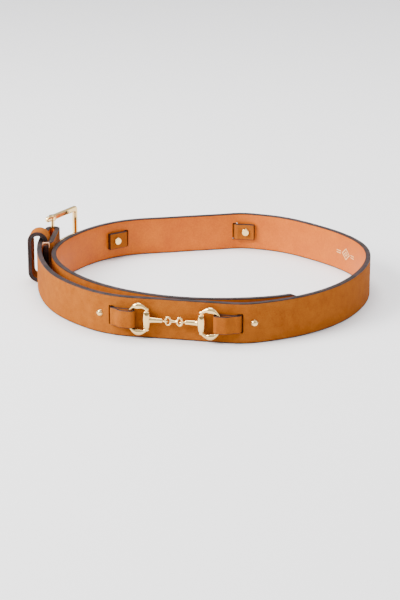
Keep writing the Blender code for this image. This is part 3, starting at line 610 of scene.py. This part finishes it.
def cutSheet(mesh, plugMesh):
    holder = linked("sheet", mesh)
    plugs = linked("plugs", plugMesh)
    step = holder.modifiers.new("cut", "BOOLEAN")
    step.operation = "DIFFERENCE"
    step.solver = "EXACT"
    step.object = plugs
    result = evaluated(holder)
    for made in (holder, plugs):
        bpy.data.objects.remove(made, do_unlink=True)
    return result


cutters = slotCutters()
for name, inner, outer, material, node, slotName in (
        ("strapFace", 0.0, strap["half"], nubuck, "strap_face", "suede"),
        ("strapLining", -strap["half"], -sheetCut["seam"], lining, "strap_lining", "lining")):
    sheet = cutSheet(flatSheet(name, inner, outer), cutters.copy())
    bendMesh(sheet)
    piece(name, sheet, [material], "strap", [node], 50.0)
print("strap sheets made")

# ---- painted edge, a rounded bead round the whole outline of the strap

edgeBead = {"Width": 3.84 * mm, "Height": 1.05 * mm, "Fillet": 0.42 * mm, "Ripple": 0.10 * mm,
            "Ripple Scale": 900.0, "Seed": 4.0, "inset": 0.52 * mm}


def makeBeadGroup():
    group = newGroup("edgeBead", "GeometryNodeTree",
                     {"Path": "Geometry", "Width": "Float", "Height": "Float", "Fillet": "Float",
                      "Ripple": "Float", "Ripple Scale": "Float", "Seed": "Float", "Material": "Material"},
                     {"Bead": "Geometry"})
    start = group.nodes["Group Input"].outputs
    curve = addNode(group, "GeometryNodeMeshToCurve", {}, {"Mesh": start["Path"]})
    across = addNode(group, "GeometryNodeInputNamedAttribute", {"data_type": "FLOAT_VECTOR"},
                     {"Name": "across"})
    aimed = addNode(group, "GeometryNodeSetCurveNormal", {"mode": "FREE"},
                    {"Curve": curve.outputs[0], "Normal": across.outputs[0]})
    quad = addNode(group, "GeometryNodeCurvePrimitiveQuadrilateral", {},
                   {"Width": start["Width"], "Height": start["Height"]})
    rounded = addNode(group, "GeometryNodeFilletCurve", {"mode": "POLY"},
                      {"Curve": quad.outputs[0], "Count": 4, "Radius": start["Fillet"]})
    skin = addNode(group, "GeometryNodeCurveToMesh", {},
                   {"Curve": aimed.outputs[0], "Profile Curve": rounded.outputs[0]})
    bumps = addNode(group, "ShaderNodeTexNoise", {"noise_dimensions": "4D"},
                    {"W": start["Seed"], "Scale": start["Ripple Scale"], "Detail": 3.0})
    centred = addNode(group, "ShaderNodeMath", {"operation": "SUBTRACT"}, {0: bumps.outputs[0], 1: 0.62})
    amount = addNode(group, "ShaderNodeMath", {"operation": "MULTIPLY"},
                     {0: centred.outputs[0], 1: start["Ripple"]})
    normal = addNode(group, "GeometryNodeInputNormal")
    offset = addNode(group, "ShaderNodeVectorMath", {"operation": "SCALE"},
                     {0: normal.outputs[0], "Scale": amount.outputs[0]})
    moved = addNode(group, "GeometryNodeSetPosition", {},
                    {"Geometry": skin.outputs[0], "Offset": offset.outputs[0]})
    return endGroup(group, moved.outputs[0])


beadGroup = makeBeadGroup()


def strapOutline():
    inset = edgeBead["inset"]
    stations = [s for s in sheetStations() if s > 4.1 * mm]
    low = [(s, -halfHeight(s) + inset) for s in stations]
    high = [(s, halfHeight(s) - inset) for s in stations]
    tipLow = [(x * mm, z * mm) for x, z in tip["bead"]]
    tipHigh = [(x, -z) for x, z in tipLow[::-1]]
    end = [(coil["length"] - inset, z) for z in np.linspace(-13.4, 13.4, 28) * mm]
    return low[:-1] + end + high[:-1][::-1] + tipHigh + tipLow


def beadPath(name, outline, outward, step):
    # a closed outline on the flat strap, bent along the coil, with the strap's side direction
    along, up = resample(outline, step, True).T
    flat = np.column_stack([along, np.full(len(along), outward), middle + up])
    return pathHolder(name, bendPoints(flat), True, sideVectors(along))


beadMesh = runNodes(beadPath("strapEdge", strapOutline(), 0.0, 1.0 * mm), beadGroup,
                    {**edgeBead, "Material": edgePaint})
piece("strapEdge", fixNormals(beadMesh), [edgePaint], "strap", (), 60.0)
print("strap edge made")

# ---- dark rings round the punched holes, on both faces, and dark walls inside them

rimLook = lengths(ringRadius=1.95, wire=0.20, sink=0.06, wallOuter=1.99, wallInner=1.84,
                  wallHalf=1.8)


def makeScatterGroup():
    # one head on every point of the source, its top turned to the point's "across" direction
    group = newGroup("headOnPoints", "GeometryNodeTree",
                     {"Points": "Geometry", "Head": "Object", "Size": "Float", "Material": "Material"},
                     {"Heads": "Geometry"})
    start = group.nodes["Group Input"].outputs
    head = addNode(group, "GeometryNodeObjectInfo", {}, {"Object": start["Head"]})
    across = addNode(group, "GeometryNodeInputNamedAttribute", {"data_type": "FLOAT_VECTOR"},
                     {"Name": "across"})
    aim = addNode(group, "FunctionNodeAlignRotationToVector", {"axis": "Z"}, {"Vector": across.outputs[0]})
    placed = addNode(group, "GeometryNodeInstanceOnPoints", {},
                     {"Points": start["Points"], "Instance": head.outputs["Geometry"],
                      "Rotation": aim.outputs[0], "Scale": start["Size"]})
    return endGroup(group, placed.outputs[0])


scatterGroup = makeScatterGroup()


def scatter(name, headMesh, flatPoints, inward, material):
    head = linked(name + "Head", headMesh)
    flat = np.array(flatPoints)
    across = sideVectors(flat[:, 0]) * (-1 if inward else 1)
    source = pathHolder(name, bendPoints(flat), False, across)
    made = runNodes(source, scatterGroup, {"Head": head, "Size": 1.0, "Material": material})
    bpy.data.objects.remove(head, do_unlink=True)
    print(name, len(flat), "heads")
    return made


def torusProfile(radius, wire, height):
    return [(radius + wire * cos(a), height + wire * sin(a))
            for a in np.linspace(0, 2 * pi, 12, endpoint=False)]


def holeFlat(outward):
    return [(strap["firstHole"] + k * strap["holeStep"], outward, middle)
            for k in range(strap["holes"])]


rim = turned("rim", torusProfile(rimLook["ringRadius"], rimLook["wire"], -rimLook["sink"]), 36, True)
rims = scatter("holeRims", rim, holeFlat(strap["half"]), False, edgePaint)
rimsIn = scatter("holeRimsInside", rim, holeFlat(-strap["half"]), True, edgePaint)
sleeve = turned("sleeve", [(rimLook[wall], way * rimLook["wallHalf"]) for wall, way in
                           (("wallOuter", -1), ("wallOuter", 1), ("wallInner", 1), ("wallInner", -1))],
                36, True)
sleeves = scatter("holeWalls", sleeve, holeFlat(0.0), False, edgePaint)
piece("holeRims", joinMeshes("holeRims", [rims, rimsIn, sleeves]), [edgePaint], "strap", ())

# ---- rivets: domed heads outside, flat pressed caps inside

rivet = {"capRim": ((0.3, 0.0), (0.08, 0.1), (0.0, 0.32), (0.02, 0.62), (0.12, 0.84), (0.34, 0.97),
                    (0.6, 1.0), (0.8, 0.97), (1.0, 0.95), (1.25, 0.97), (2.4, 0.99)),
         **lengths(domeRadius=2.6, domeHeight=1.95, rim=0.32, lift=0.12, stem=1.0, stemDepth=5.6,
                   lip=0.12, capRadius=3.0, capThickness=1.0)}


def domeProfile():
    radius, lift, lip = rivet["domeRadius"], rivet["lift"], rivet["lip"]
    rise = rivet["domeHeight"] - rivet["rim"]
    profile = [(0.0, -rivet["stemDepth"]), (rivet["stem"], -rivet["stemDepth"]), (rivet["stem"], lift),
               (radius - 0.3 * mm, lift - 0.1 * mm)]
    profile += arc((radius - lip, lift + lip), lip, -60, 60, 5)
    for a in np.linspace(0.06, pi / 2, 12):
        profile.append(((radius - lip * 1.5) * cos(a), rivet["rim"] + rise * sin(a)))
    profile[-1] = (0.0, rivet["domeHeight"])
    return profile


def capProfile():
    # a flat disc with a rolled rim and a faint ring, measured from its seat on the tab end
    rolled = [(rivet["capRadius"] - inset * mm, high * mm) for inset, high in rivet["capRim"]]
    return [(0.0, 0.0)] + rolled + [(0.0, rivet["capThickness"])]


rivetFlat = [(place + sign * bit["rivetOut"], strap["half"], middle)
             for place in bits.values() for sign in (-1, 1)]
capSeat = strap["half"] + 2 * bit["tabThickness"] + 4 * strap["gap"]
capFlat = [(x, -capSeat, z) for x, _, z in rivetFlat]
heads = scatter("rivetHeads", turned("dome", domeProfile(), 40), rivetFlat, False, gold)
caps = scatter("rivetCaps", turned("cap", capProfile(), 40), capFlat, True, gold)
sides = [b + "_" + s for b in ("front", "rear") for s in ("right", "left")]
piece("rivetHeads", heads, [gold], "strap", [n + "_rivet" for n in sides], 50.0)
piece("rivetCaps", caps, [gold], "strap", [n + "_rivet_cap" for n in sides], 50.0)

# ---- tabs: a folded strip of the same hide through each slot and round its ring

tabLook = {"rows": 8, "slopeSteps": 16,
           **lengths(step=0.5, corner=0.34, edgeBulge=0.08, ease=0.05, paintFrom=0.05)}


def tabRoute():
    half = bit["tabThickness"] / 2
    gap = strap["gap"]
    ease = tabLook["ease"]
    entry = bit["slotOut"] - bit["slotWidth"] / 2 - ease
    leave = bit["slotOut"] + bit["slotWidth"] / 2 + ease
    low = strap["half"] - ease
    near = gap + half + ease
    far = near + bit["tabThickness"] + gap
    foldLow = strap["half"] + gap + half
    foldHigh = bit["standoff"] + bit["tabOver"] + half
    radius = (foldHigh - foldLow) / 2
    centre = (bit["tabFold"] + half + radius, (foldLow + foldHigh) / 2)
    route = [(bit["tabEnd"], -low - far)]
    route += arc((leave, -low), far, 270, 180, 13)
    route += arc((entry, low), near, 0, 90, 9)
    route += arc(centre, radius, 270, 90, 25)
    drop = foldHigh - (low + far)
    crest = bit["tabCrest"]
    route.append((crest, foldHigh))
    for k in range(1, tabLook["slopeSteps"]):
        share = k / tabLook["slopeSteps"]
        fall = drop * (1 - cos(pi * share)) / 2
        route.append((crest + (entry - crest) * share, foldHigh - fall))
    route += arc((entry, low), far, 90, 0, 13)
    route += arc((leave, -low), near, 180, 270, 9)
    route.append((bit["tabEnd"], -low - near))
    return route


def makeTab(name, place, sign, node):
    line = resample(tabRoute(), tabLook["step"])
    line[-1] = tabRoute()[-1]
    normal = leftOf(tangents(line))
    half = bit["tabThickness"] / 2
    wide = bit["tabWidth"] / 2
    corner = tabLook["corner"]

    def roundedEdge(u, v, turns):
        bulged = corner + tabLook["edgeBulge"]
        return [(u * (half - corner + corner * cos(a)), v * (wide - corner + bulged * sin(a)))
                for a in np.radians(turns)]

    rows = np.linspace(-wide + corner, wide - corner, tabLook["rows"])
    rising, falling = (25, 50, 75), (75, 50, 25)
    section = [(half, v) for v in rows] + roundedEdge(1, 1, rising) + roundedEdge(-1, 1, falling)
    section += [(-half, v) for v in rows[::-1]] + roundedEdge(-1, -1, rising) + roundedEdge(1, -1, falling)
    loops = [[(place + sign * (spot[0] + out[0] * u), spot[1] + out[1] * u, middle + v)
              for u, v in section] for spot, out in zip(line, normal)]
    mesh = loopMesh(name, loops)
    flatV = np.array([v.co.z for v in mesh.vertices]) - middle
    edge = wide - corner * 1.02 - tabLook["paintFrom"]
    bendMesh(mesh)
    piece(name, mesh, [nubuck, edgePaint], "strap", [node], 50.0)
    for face in mesh.polygons:
        onEnd = len(face.vertices) > 4
        face.material_index = 1 if onEnd or min(abs(flatV[k]) for k in face.vertices) > edge else 0


for bitName, place in bits.items():
    for side, sign in (("left", 1), ("right", -1)):
        makeTab(bitName + side.capitalize() + "Tab", place, sign, bitName + "_" + side + "_tab")
print("tabs made")

# ---- snaffle bits: crescent rings on their pins, bored barrels with arms, the middle link

ringLook = {"steps": 84, "sweep": 125.0, "squareness": 0.85, "wire": 1.1 * mm, "swell": 1.3 * mm,
            "swellAt": 84.0, "swellSpread": 24.0, "flatten": 0.8, "pin": 1.2 * mm,
            "nose": ((19.6, 7.75, 1.05), (19.1, 7.7, 0.9), (18.7, 7.68, 0.66), (18.45, 7.67, 0.35),
                     (18.36, 7.67, 0.08))}
armLook = {"out": (2.2, 3.0, 3.5, 3.9, 4.6, 7.0), "radii": (2.5, 2.45, 2.25, 2.1, 2.05, 1.92),
           "endOut": (-1.6, -1.0, -0.55, -0.1, 0.2), "endRadii": (1.76, 1.76, 1.6, 1.15, 0.6),
           "lip": 0.15 * mm, "barrelSteps": 24}


def bitMatrix(place):
    point, heading, _ = coilFrame(place)
    turn = atan2(heading[0, 1], heading[0, 0])
    centre = bendPoints([(place, 0.0, middle)])[0]
    return Matrix.Translation(centre) @ Matrix.Rotation(turn, 4, "Z")


def ringMesh(sign):
    places, radii = [], []
    reachLength = bit["ringFar"] - bit["ringCentre"]
    for turn in np.linspace(-ringLook["sweep"], ringLook["sweep"], ringLook["steps"] + 1):
        reach = cos(radians(turn))
        if reach > 0:
            reach = reach ** ringLook["squareness"]
        places.append((bit["ringCentre"] + reachLength * reach,
                       bit["ringHalf"] * sin(radians(turn))))
        swell = exp(-((abs(turn) - ringLook["swellAt"]) / ringLook["swellSpread"]) ** 2)
        radii.append(ringLook["wire"] + ringLook["swell"] * swell)
    # rounded ends just past the pin
    upper = [(x * mm, z * mm) for x, z, _ in ringLook["nose"]]
    noseRadii = [r * mm for _, _, r in ringLook["nose"]]
    places = [(x, -z) for x, z in upper[::-1]] + places + upper
    crescent = planarTube("ring", [(sign * x, z) for x, z in places], noseRadii[::-1] + radii + noseRadii,
                          28, False, ringLook["flatten"])
    half, pinRadius = bit["pinHalf"], ringLook["pin"]
    pin = turned("pin", [(0.0, half), (pinRadius, half), (pinRadius, -half), (0.0, -half)], 28)
    pin.transform(Matrix.Translation((sign * bit["ringBar"], 0, 0)))
    return joinMeshes("ring", [crescent, pin])


def armMesh(sign):
    half, end, bore, lip = bit["barrelHalf"], bit["barrelEnd"], bit["bore"], armLook["lip"]
    mouth = [(bore, half - lip), (bore + lip, half), (end - 0.35 * mm, half),
             (end - 0.08 * mm, half - 0.1 * mm)]
    profile = list(mouth)
    for k in range(armLook["barrelSteps"] + 1):
        height = (half - 0.35 * mm) * (1 - 2 * k / armLook["barrelSteps"])
        profile.append((end + (bit["barrel"] - end) * (1 - (height / half) ** 2), height))
    profile += [(radius, -height) for radius, height in mouth[::-1]]
    barrel = turned("barrel", profile, 40, True)
    near = bit["ringBar"] - bit["loopOut"] - bit["loop"]
    reach = [x * mm for x in armLook["out"]] + [near + x * mm for x in armLook["endOut"]]
    radii = [r * mm for r in armLook["radii"] + armLook["endRadii"]]
    shaft = turned("shaft", [(0.0, reach[0])] + list(zip(radii, reach)) + [(0.0, reach[-1])], 32)
    shaft.transform(Matrix.Rotation(-sign * pi / 2, 4, "Y"))
    loop = turned("loop", torusProfile(bit["loop"], bit["loopWire"] * 1.05, 0.0), 40, True)
    loop.transform(Matrix.Translation((-sign * (bit["ringBar"] - bit["loopOut"]), 0, 0)))
    made = joinMeshes("arm", [barrel, shaft, loop])
    made.transform(Matrix.Translation((sign * bit["ringBar"], 0, 0)))
    return made


def linkMesh():
    parts = []
    turns = np.linspace(0, 2 * pi, 48, endpoint=False)
    for sign in (-1, 1):
        eye = [(sign * bit["eyeOut"] + bit["eyeHalfWidth"] * cos(a),
                bit["eyeHalfHeight"] * sin(a)) for a in turns]
        parts.append(planarTube("eye", eye, [bit["eyeWire"]] * len(eye), 20, True))
    reach = bit["eyeOut"] - bit["eyeHalfWidth"] + 0.1 * mm
    shares = np.linspace(-1, 1, 15)
    waist = [(0.0, -reach)] + [((0.95 + 0.45 * s * s) * mm, reach * s) for s in shares] + [(0.0, reach)]
    bar = turned("waist", waist, 28)
    bar.transform(Matrix.Rotation(pi / 2, 4, "Y"))
    parts.append(bar)
    return joinMeshes("link", parts)


for bitName, place in bits.items():
    base = bitMatrix(place) @ Matrix.Translation((0, bit["standoff"], 0))
    for side, sign in (("left", 1), ("right", -1)):
        for kind, mesh in (("ring", ringMesh(sign)), ("arm", armMesh(sign))):
            mesh.transform(base)
            node = bitName + "_" + side + "_" + kind
            made = bitName + side.capitalize() + kind.capitalize()
            piece(made, mesh, [gold], node, [node], 50.0)
    mesh = linkMesh()
    mesh.transform(base)
    piece(bitName + "Link", mesh, [gold], bitName + "_link", [bitName + "_link"], 50.0)
print("bits made")

# ---- buckle

buckle = {"swing": -23.0,
          **lengths(height=45.5, rail=4.5, thickness=2.8, reach=35.0, lug=8.5, bevel=0.95,
                    outer=3.0, inner=1.2, bar=1.5, barInset=1.8, boss=2.9, bossGap=0.15,
                    bossRound=0.45)}
prong = lengths(width=3.4, thickness=2.0, bevel=0.55, ease=0.25, eyeWall=1.3, past=1.2)


def frameOutline():
    top, rail = buckle["height"], buckle["rail"]
    far, inside = buckle["reach"], buckle["reach"] - buckle["rail"]
    outer, inner, lug = buckle["outer"], buckle["inner"], buckle["rail"] / 2
    return (arc((far - outer, outer), outer, 270, 360, 12)
            + arc((far - outer, top - outer), outer, 0, 90, 12)
            + arc((lug - buckle["lug"], top - lug), lug, 90, 270, 18)
            + arc((inside - inner, top - rail - inner), inner, 90, 0, 7)
            + arc((inside - inner, rail + inner), inner, 0, -90, 7)
            + arc((lug - buckle["lug"], lug), lug, 90, 270, 18))


def prongOutlines():
    hole = buckle["bar"] + prong["ease"]
    rest = buckle["thickness"] / 2 + prong["ease"]
    before = buckle["reach"] - buckle["rail"] - 3 * mm
    end = buckle["reach"] + prong["past"]
    top = rest + prong["thickness"]
    under = [(2.6 * mm, -0.8 * mm), (7 * mm, 0.0), (before, rest), (end, rest)]
    over = [(end + 0.7 * mm, rest + 0.5 * mm), (end + 0.7 * mm, rest + 1.1 * mm), (end - 0.6 * mm, top),
            (before, top), (9 * mm, 2.4 * mm), (3.6 * mm, 2.1 * mm)]
    start = degrees(atan2(over[-1][1], over[-1][0])) + 12
    finish = 360 + degrees(atan2(under[0][1], under[0][0])) - 12
    return [arc((0, 0), hole + prong["eyeWall"], start, finish, 40) + under + over,
            arc((0, 0), hole, 0, 352, 45)]


hinge = (Matrix.Translation((*coil["bar"], 0.0))
         @ Matrix.Rotation(coil["turn"] + radians(buckle["swing"]), 4, "Z"))
frameMesh = plate("frame", [frameOutline()], buckle["thickness"], buckle["bevel"], 6)
frameMesh.transform(Matrix.Rotation(pi / 2, 4, "X"))
bosses = []
for level in (buckle["rail"] / 2, buckle["height"] - buckle["rail"] / 2):
    half, soft = buckle["rail"] / 2 - buckle["bossGap"], buckle["bossRound"]
    profile = [(0.0, half)] + arc((buckle["boss"] - soft, half - soft), soft, 90, 0, 6)
    profile += arc((buckle["boss"] - soft, -half + soft), soft, 0, -90, 6) + [(0.0, -half)]
    boss = turned("boss", profile, 40)
    boss.transform(Matrix.Translation((0, 0, level)))
    bosses.append(boss)
whole = joinMeshes("buckleFrame", [frameMesh] + bosses)
whole.transform(hinge)
piece("buckleFrame", whole, [gold], "buckle", ["buckle_frame"], 45.0)
barEnds = (buckle["height"] - buckle["barInset"], buckle["barInset"])
barMesh = turned("bar", [(0.0, barEnds[0]), (buckle["bar"], barEnds[0]),
                         (buckle["bar"], barEnds[1]), (0.0, barEnds[1])], 40)
barMesh.transform(hinge)
piece("buckleBar", barMesh, [gold], "buckle", ["buckle_bar"])
prongMesh = plate("prong", prongOutlines(), prong["width"], prong["bevel"], 5)
prongMesh.transform(hinge @ Matrix.Translation((0, 0, fold["rise"] + middle)))
piece("prong", prongMesh, [gold], "prong", ["buckle_prong"], 45.0)
print("buckle made")

# ---- keeper: two plies of hide, glued, with a painted edge and a seam line round it

keeperLook = lengths(groove=0.26, corner=0.5, nearCorner=2.3, farCorner=6.7, step=0.8)


def keeperPath():
    half = keeper["thickness"] / 2
    left = -(strap["half"] + keeper["gap"]) - half
    right = strap["half"] + keeper["standoff"] + half
    high, low = keeper["top"] - half, keeper["bottom"] + half
    top = (right - left) / 2
    near, far = keeperLook["nearCorner"], keeperLook["farCorner"]
    points = arc((right - top, high - top), top, 0, 180, 40)
    points += arc((left + near, low + near), near, 180, 270, 12)
    points += arc((right - far, low + far), far, 270, 360, 20)
    return resample(points, keeperLook["step"], True)


def makeKeeper():
    line = keeperPath()
    normal = -leftOf(tangents(line, True))
    half = keeper["thickness"] / 2
    wide = keeper["width"] / 2
    corner, groove = keeperLook["corner"], keeperLook["groove"]
    quarter = [(half, v) for v in np.linspace(0.0, wide - corner, 6)]
    quarter += arc((half - corner, wide - corner), corner, 0, 90, 5)[1:]
    quarter += [(0.35 * mm, wide), (0.12 * mm, wide - groove * 0.7)]
    upper = quarter + [(0.0, wide - groove)] + [(-u, v) for u, v in quarter[::-1]]
    section = upper + [(u, -v) for u, v in upper[::-1][1:-1]]
    loops = [[(v, spot[0] + out[0] * u, spot[1] + out[1] * u) for u, v in section]
             for spot, out in zip(line, normal)]
    mesh = loopMesh("keeper", np.array(loops), True)
    reachAll = np.array([abs(v.co.x) for v in mesh.vertices])
    along = coil["toBar"] - keeper["fromBar"]
    point, heading, _ = coilFrame(along)
    mesh.transform(Matrix.Translation((*point[0], 0.0))
                   @ Matrix.Rotation(atan2(heading[0, 1], heading[0, 0]), 4, "Z"))
    piece("keeper", mesh, [nubuck, edgePaint], "strap", ["keeper"], 35.0)
    for face in mesh.polygons:
        face.material_index = 1 if min(reachAll[k] for k in face.vertices) > wide - corner * 0.95 else 0


makeKeeper()
print("keeper made")

# ---- thread tacks over both edges, holding the fold-back

tack = {"Count": 3, "Thread Radius": 0.35 * mm,
        "side": ((0.0, -3.0), (0.0, -1.5), (0.0, 0.0), (0.12, 0.32), (0.4, 0.56), (0.9, 0.68),
                 (1.6, 0.72)),
        **lengths(pitch=0.66, fromBar=44.6, ease=0.15)}


def makeWrapGroup():
    group = newGroup("threadWraps", "GeometryNodeTree",
                     {"Path": "Geometry", "Count": "Int", "Offset": "Vector", "Thread Radius": "Float",
                      "Material": "Material"}, {"Wraps": "Geometry"})
    start = group.nodes["Group Input"].outputs
    curve = addNode(group, "GeometryNodeMeshToCurve", {}, {"Mesh": start["Path"]})
    ring = addNode(group, "GeometryNodeCurvePrimitiveCircle", {"mode": "RADIUS"},
                   {"Resolution": 12, "Radius": start["Thread Radius"]})
    strand = addNode(group, "GeometryNodeCurveToMesh", {},
                     {"Curve": curve.outputs[0], "Profile Curve": ring.outputs[0], "Fill Caps": True})
    row = addNode(group, "GeometryNodeMeshLine", {}, {"Count": start["Count"], "Offset": start["Offset"]})
    laid = addNode(group, "GeometryNodeInstanceOnPoints", {},
                   {"Points": row.outputs[0], "Instance": strand.outputs[0]})
    return endGroup(group, laid.outputs[0])


wrapGroup = makeWrapGroup()


def makeTack(name, edge, sign, node):
    along = coil["toBar"] - tack["fromBar"]
    radius = tack["Thread Radius"]
    outside = -strap["half"] - fold["endGap"] / 2
    inside = -foldSpread(tack["fromBar"]) - strap["half"] - radius - tack["ease"]
    centre, reach = (outside + inside) / 2, (outside - inside) / 2
    route = [(centre + reach - a * mm, edge + sign * b * mm) for a, b in tack["side"]]
    route += [(centre - reach + a * mm, edge + sign * b * mm) for a, b in tack["side"][::-1]]
    _, heading, _ = coilFrame(along)
    shift = tack["pitch"]
    first = along - shift * (tack["Count"] - 1) / 2
    points = bendPoints([(first, y, z) for y, z in route])
    offset = (float(heading[0, 0]) * shift, float(heading[0, 1]) * shift, 0.0)
    mesh = runNodes(pathHolder(name, points, False), wrapGroup,
                    {"Count": tack["Count"], "Offset": offset, "Thread Radius": radius,
                     "Material": thread})
    piece(name, fixNormals(mesh), [thread], "strap", [node])


makeTack("upperTack", strap["width"], 1, "upper_tack")
makeTack("lowerTack", 0.0, -1, "lower_tack")
print("tacks made")

# ---- pressed gold foil on the lining: a lozenge between short rules

ornament = {"length": 26.0 * mm, "height": 10.0 * mm, "foil": 0.05 * mm, "line": 0.75 * mm,
            "sizes": (1.0, 0.45), "rules": (-0.9 * mm, 0.9 * mm), "step": 0.4 * mm,
            "bevel": 0.012 * mm, "sink": 0.01 * mm, "near": (0.1195, 0.052)}


def makeOrnament(along):
    line, half, step = ornament["line"], ornament["height"] / 2, ornament["step"]
    shapes = []
    for grow in ornament["sizes"]:
        wide, tall = half * 1.15 * grow, half * grow
        outer = [(wide, 0), (0, tall), (-wide, 0), (0, -tall)]
        shrink = 1 - line / tall / 0.75
        inner = [(x * shrink, z * shrink) for x, z in outer]
        shapes.append([outer, inner])
    for sign in (-1, 1):
        ends = sorted((sign * half * 1.45, sign * ornament["length"] / 2))
        for level in ornament["rules"]:
            shapes.append([roundedBox((ends[0], level - line / 2), (ends[1], level + line / 2),
                                      line * 0.45, 4)])
    parts = [plate("foil", [resample(outline, step, True).tolist() for outline in shape], ornament["foil"],
                   ornament["bevel"], 1) for shape in shapes]
    mesh = joinMeshes("ornament", parts)
    mesh.transform(Matrix.Rotation(pi / 2, 4, "X"))
    mesh.transform(Matrix.Translation((along, -strap["half"] - ornament["foil"] / 2 + ornament["sink"],
                                       middle)))
    bendMesh(mesh)
    piece("foilOrnament", mesh, [foil], "strap", ())


spots = np.arange(0, coil["length"], 1 * mm)
away = np.linalg.norm(coilFrame(spots)[0] - np.array(ornament["near"]), axis=1)
makeOrnament(float(spots[np.argmin(away)]))
print("foil ornament made")

# ---- floor, light and camera

studio = {"floor": (0.88, 0.875, 0.87), "world": (0.86, 0.87, 0.92), "horizon": 0.42, "zenith": 1.35,
          "key": 88.0, "fill": 6.0, "top": 44.0, "drop": 0.2 * mm}

floorMesh = bpy.data.meshes.new("floor")
floorMesh.from_pydata([(-8, -6, 0), (8, -6, 0), (8, 10, 0), (-8, 10, 0)], [], [(0, 1, 2, 3)])
floor = linked("floor", floorMesh)
floor.location.z = -studio["drop"]
paper, tree, shader = shaderBase("palePaper")
shader.inputs["Base Color"].default_value = rgba(studio["floor"])
shader.inputs["Roughness"].default_value = 0.7
floorMesh.materials.append(paper)

world = bpy.data.worlds.new("softStudio")
bpy.context.scene.world = world
world.use_nodes = True
sky = world.node_tree.nodes["Background"]
sky.inputs["Color"].default_value = rgba(studio["world"])
direction = addNode(world.node_tree, "ShaderNodeTexCoord")
height = addNode(world.node_tree, "ShaderNodeSeparateXYZ", {}, {0: direction.outputs["Generated"]})
fade = spread(world.node_tree, height.outputs["Z"], (-0.05, 0.75), (studio["horizon"], studio["zenith"]),
              "SMOOTHSTEP")
world.node_tree.links.new(fade, sky.inputs["Strength"])


def softLight(name, place, target, size, power, colour=(1.0, 1.0, 1.0)):
    lamp = bpy.data.lights.new(name, "AREA")
    lamp.shape = "RECTANGLE"
    lamp.size, lamp.size_y = size
    lamp.energy = power
    lamp.color = colour
    made = linked(name, lamp)
    made.location = place
    made.rotation_euler = (Vector(target) - Vector(place)).to_track_quat("-Z", "Y").to_euler()


softLight("keyLight", (-1.5, -0.55, 1.1), (0, 0, 0.02), (1.0, 1.0), studio["key"], (1.0, 0.985, 0.96))
softLight("fillLight", (1.6, -0.6, 0.9), (0, 0, 0.02), (0.9, 0.9), studio["fill"], (0.96, 0.98, 1.0))
softLight("topLight", (0.0, 0.5, 1.8), (0, 0, 0.0), (1.2, 1.2), studio["top"])

view = {"place": (0.002, -1.371, 0.436), "down": 17.9, "lens": 111.0, "sensor": 36.0}
lens = bpy.data.cameras.new("camera")
lens.lens = view["lens"]
lens.sensor_width = view["sensor"]
camera = linked("camera", lens)
camera.location = view["place"]
camera.rotation_euler = (radians(90.0 - view["down"]), 0.0, 0.0)
bpy.context.scene.camera = camera


print("scene ready")
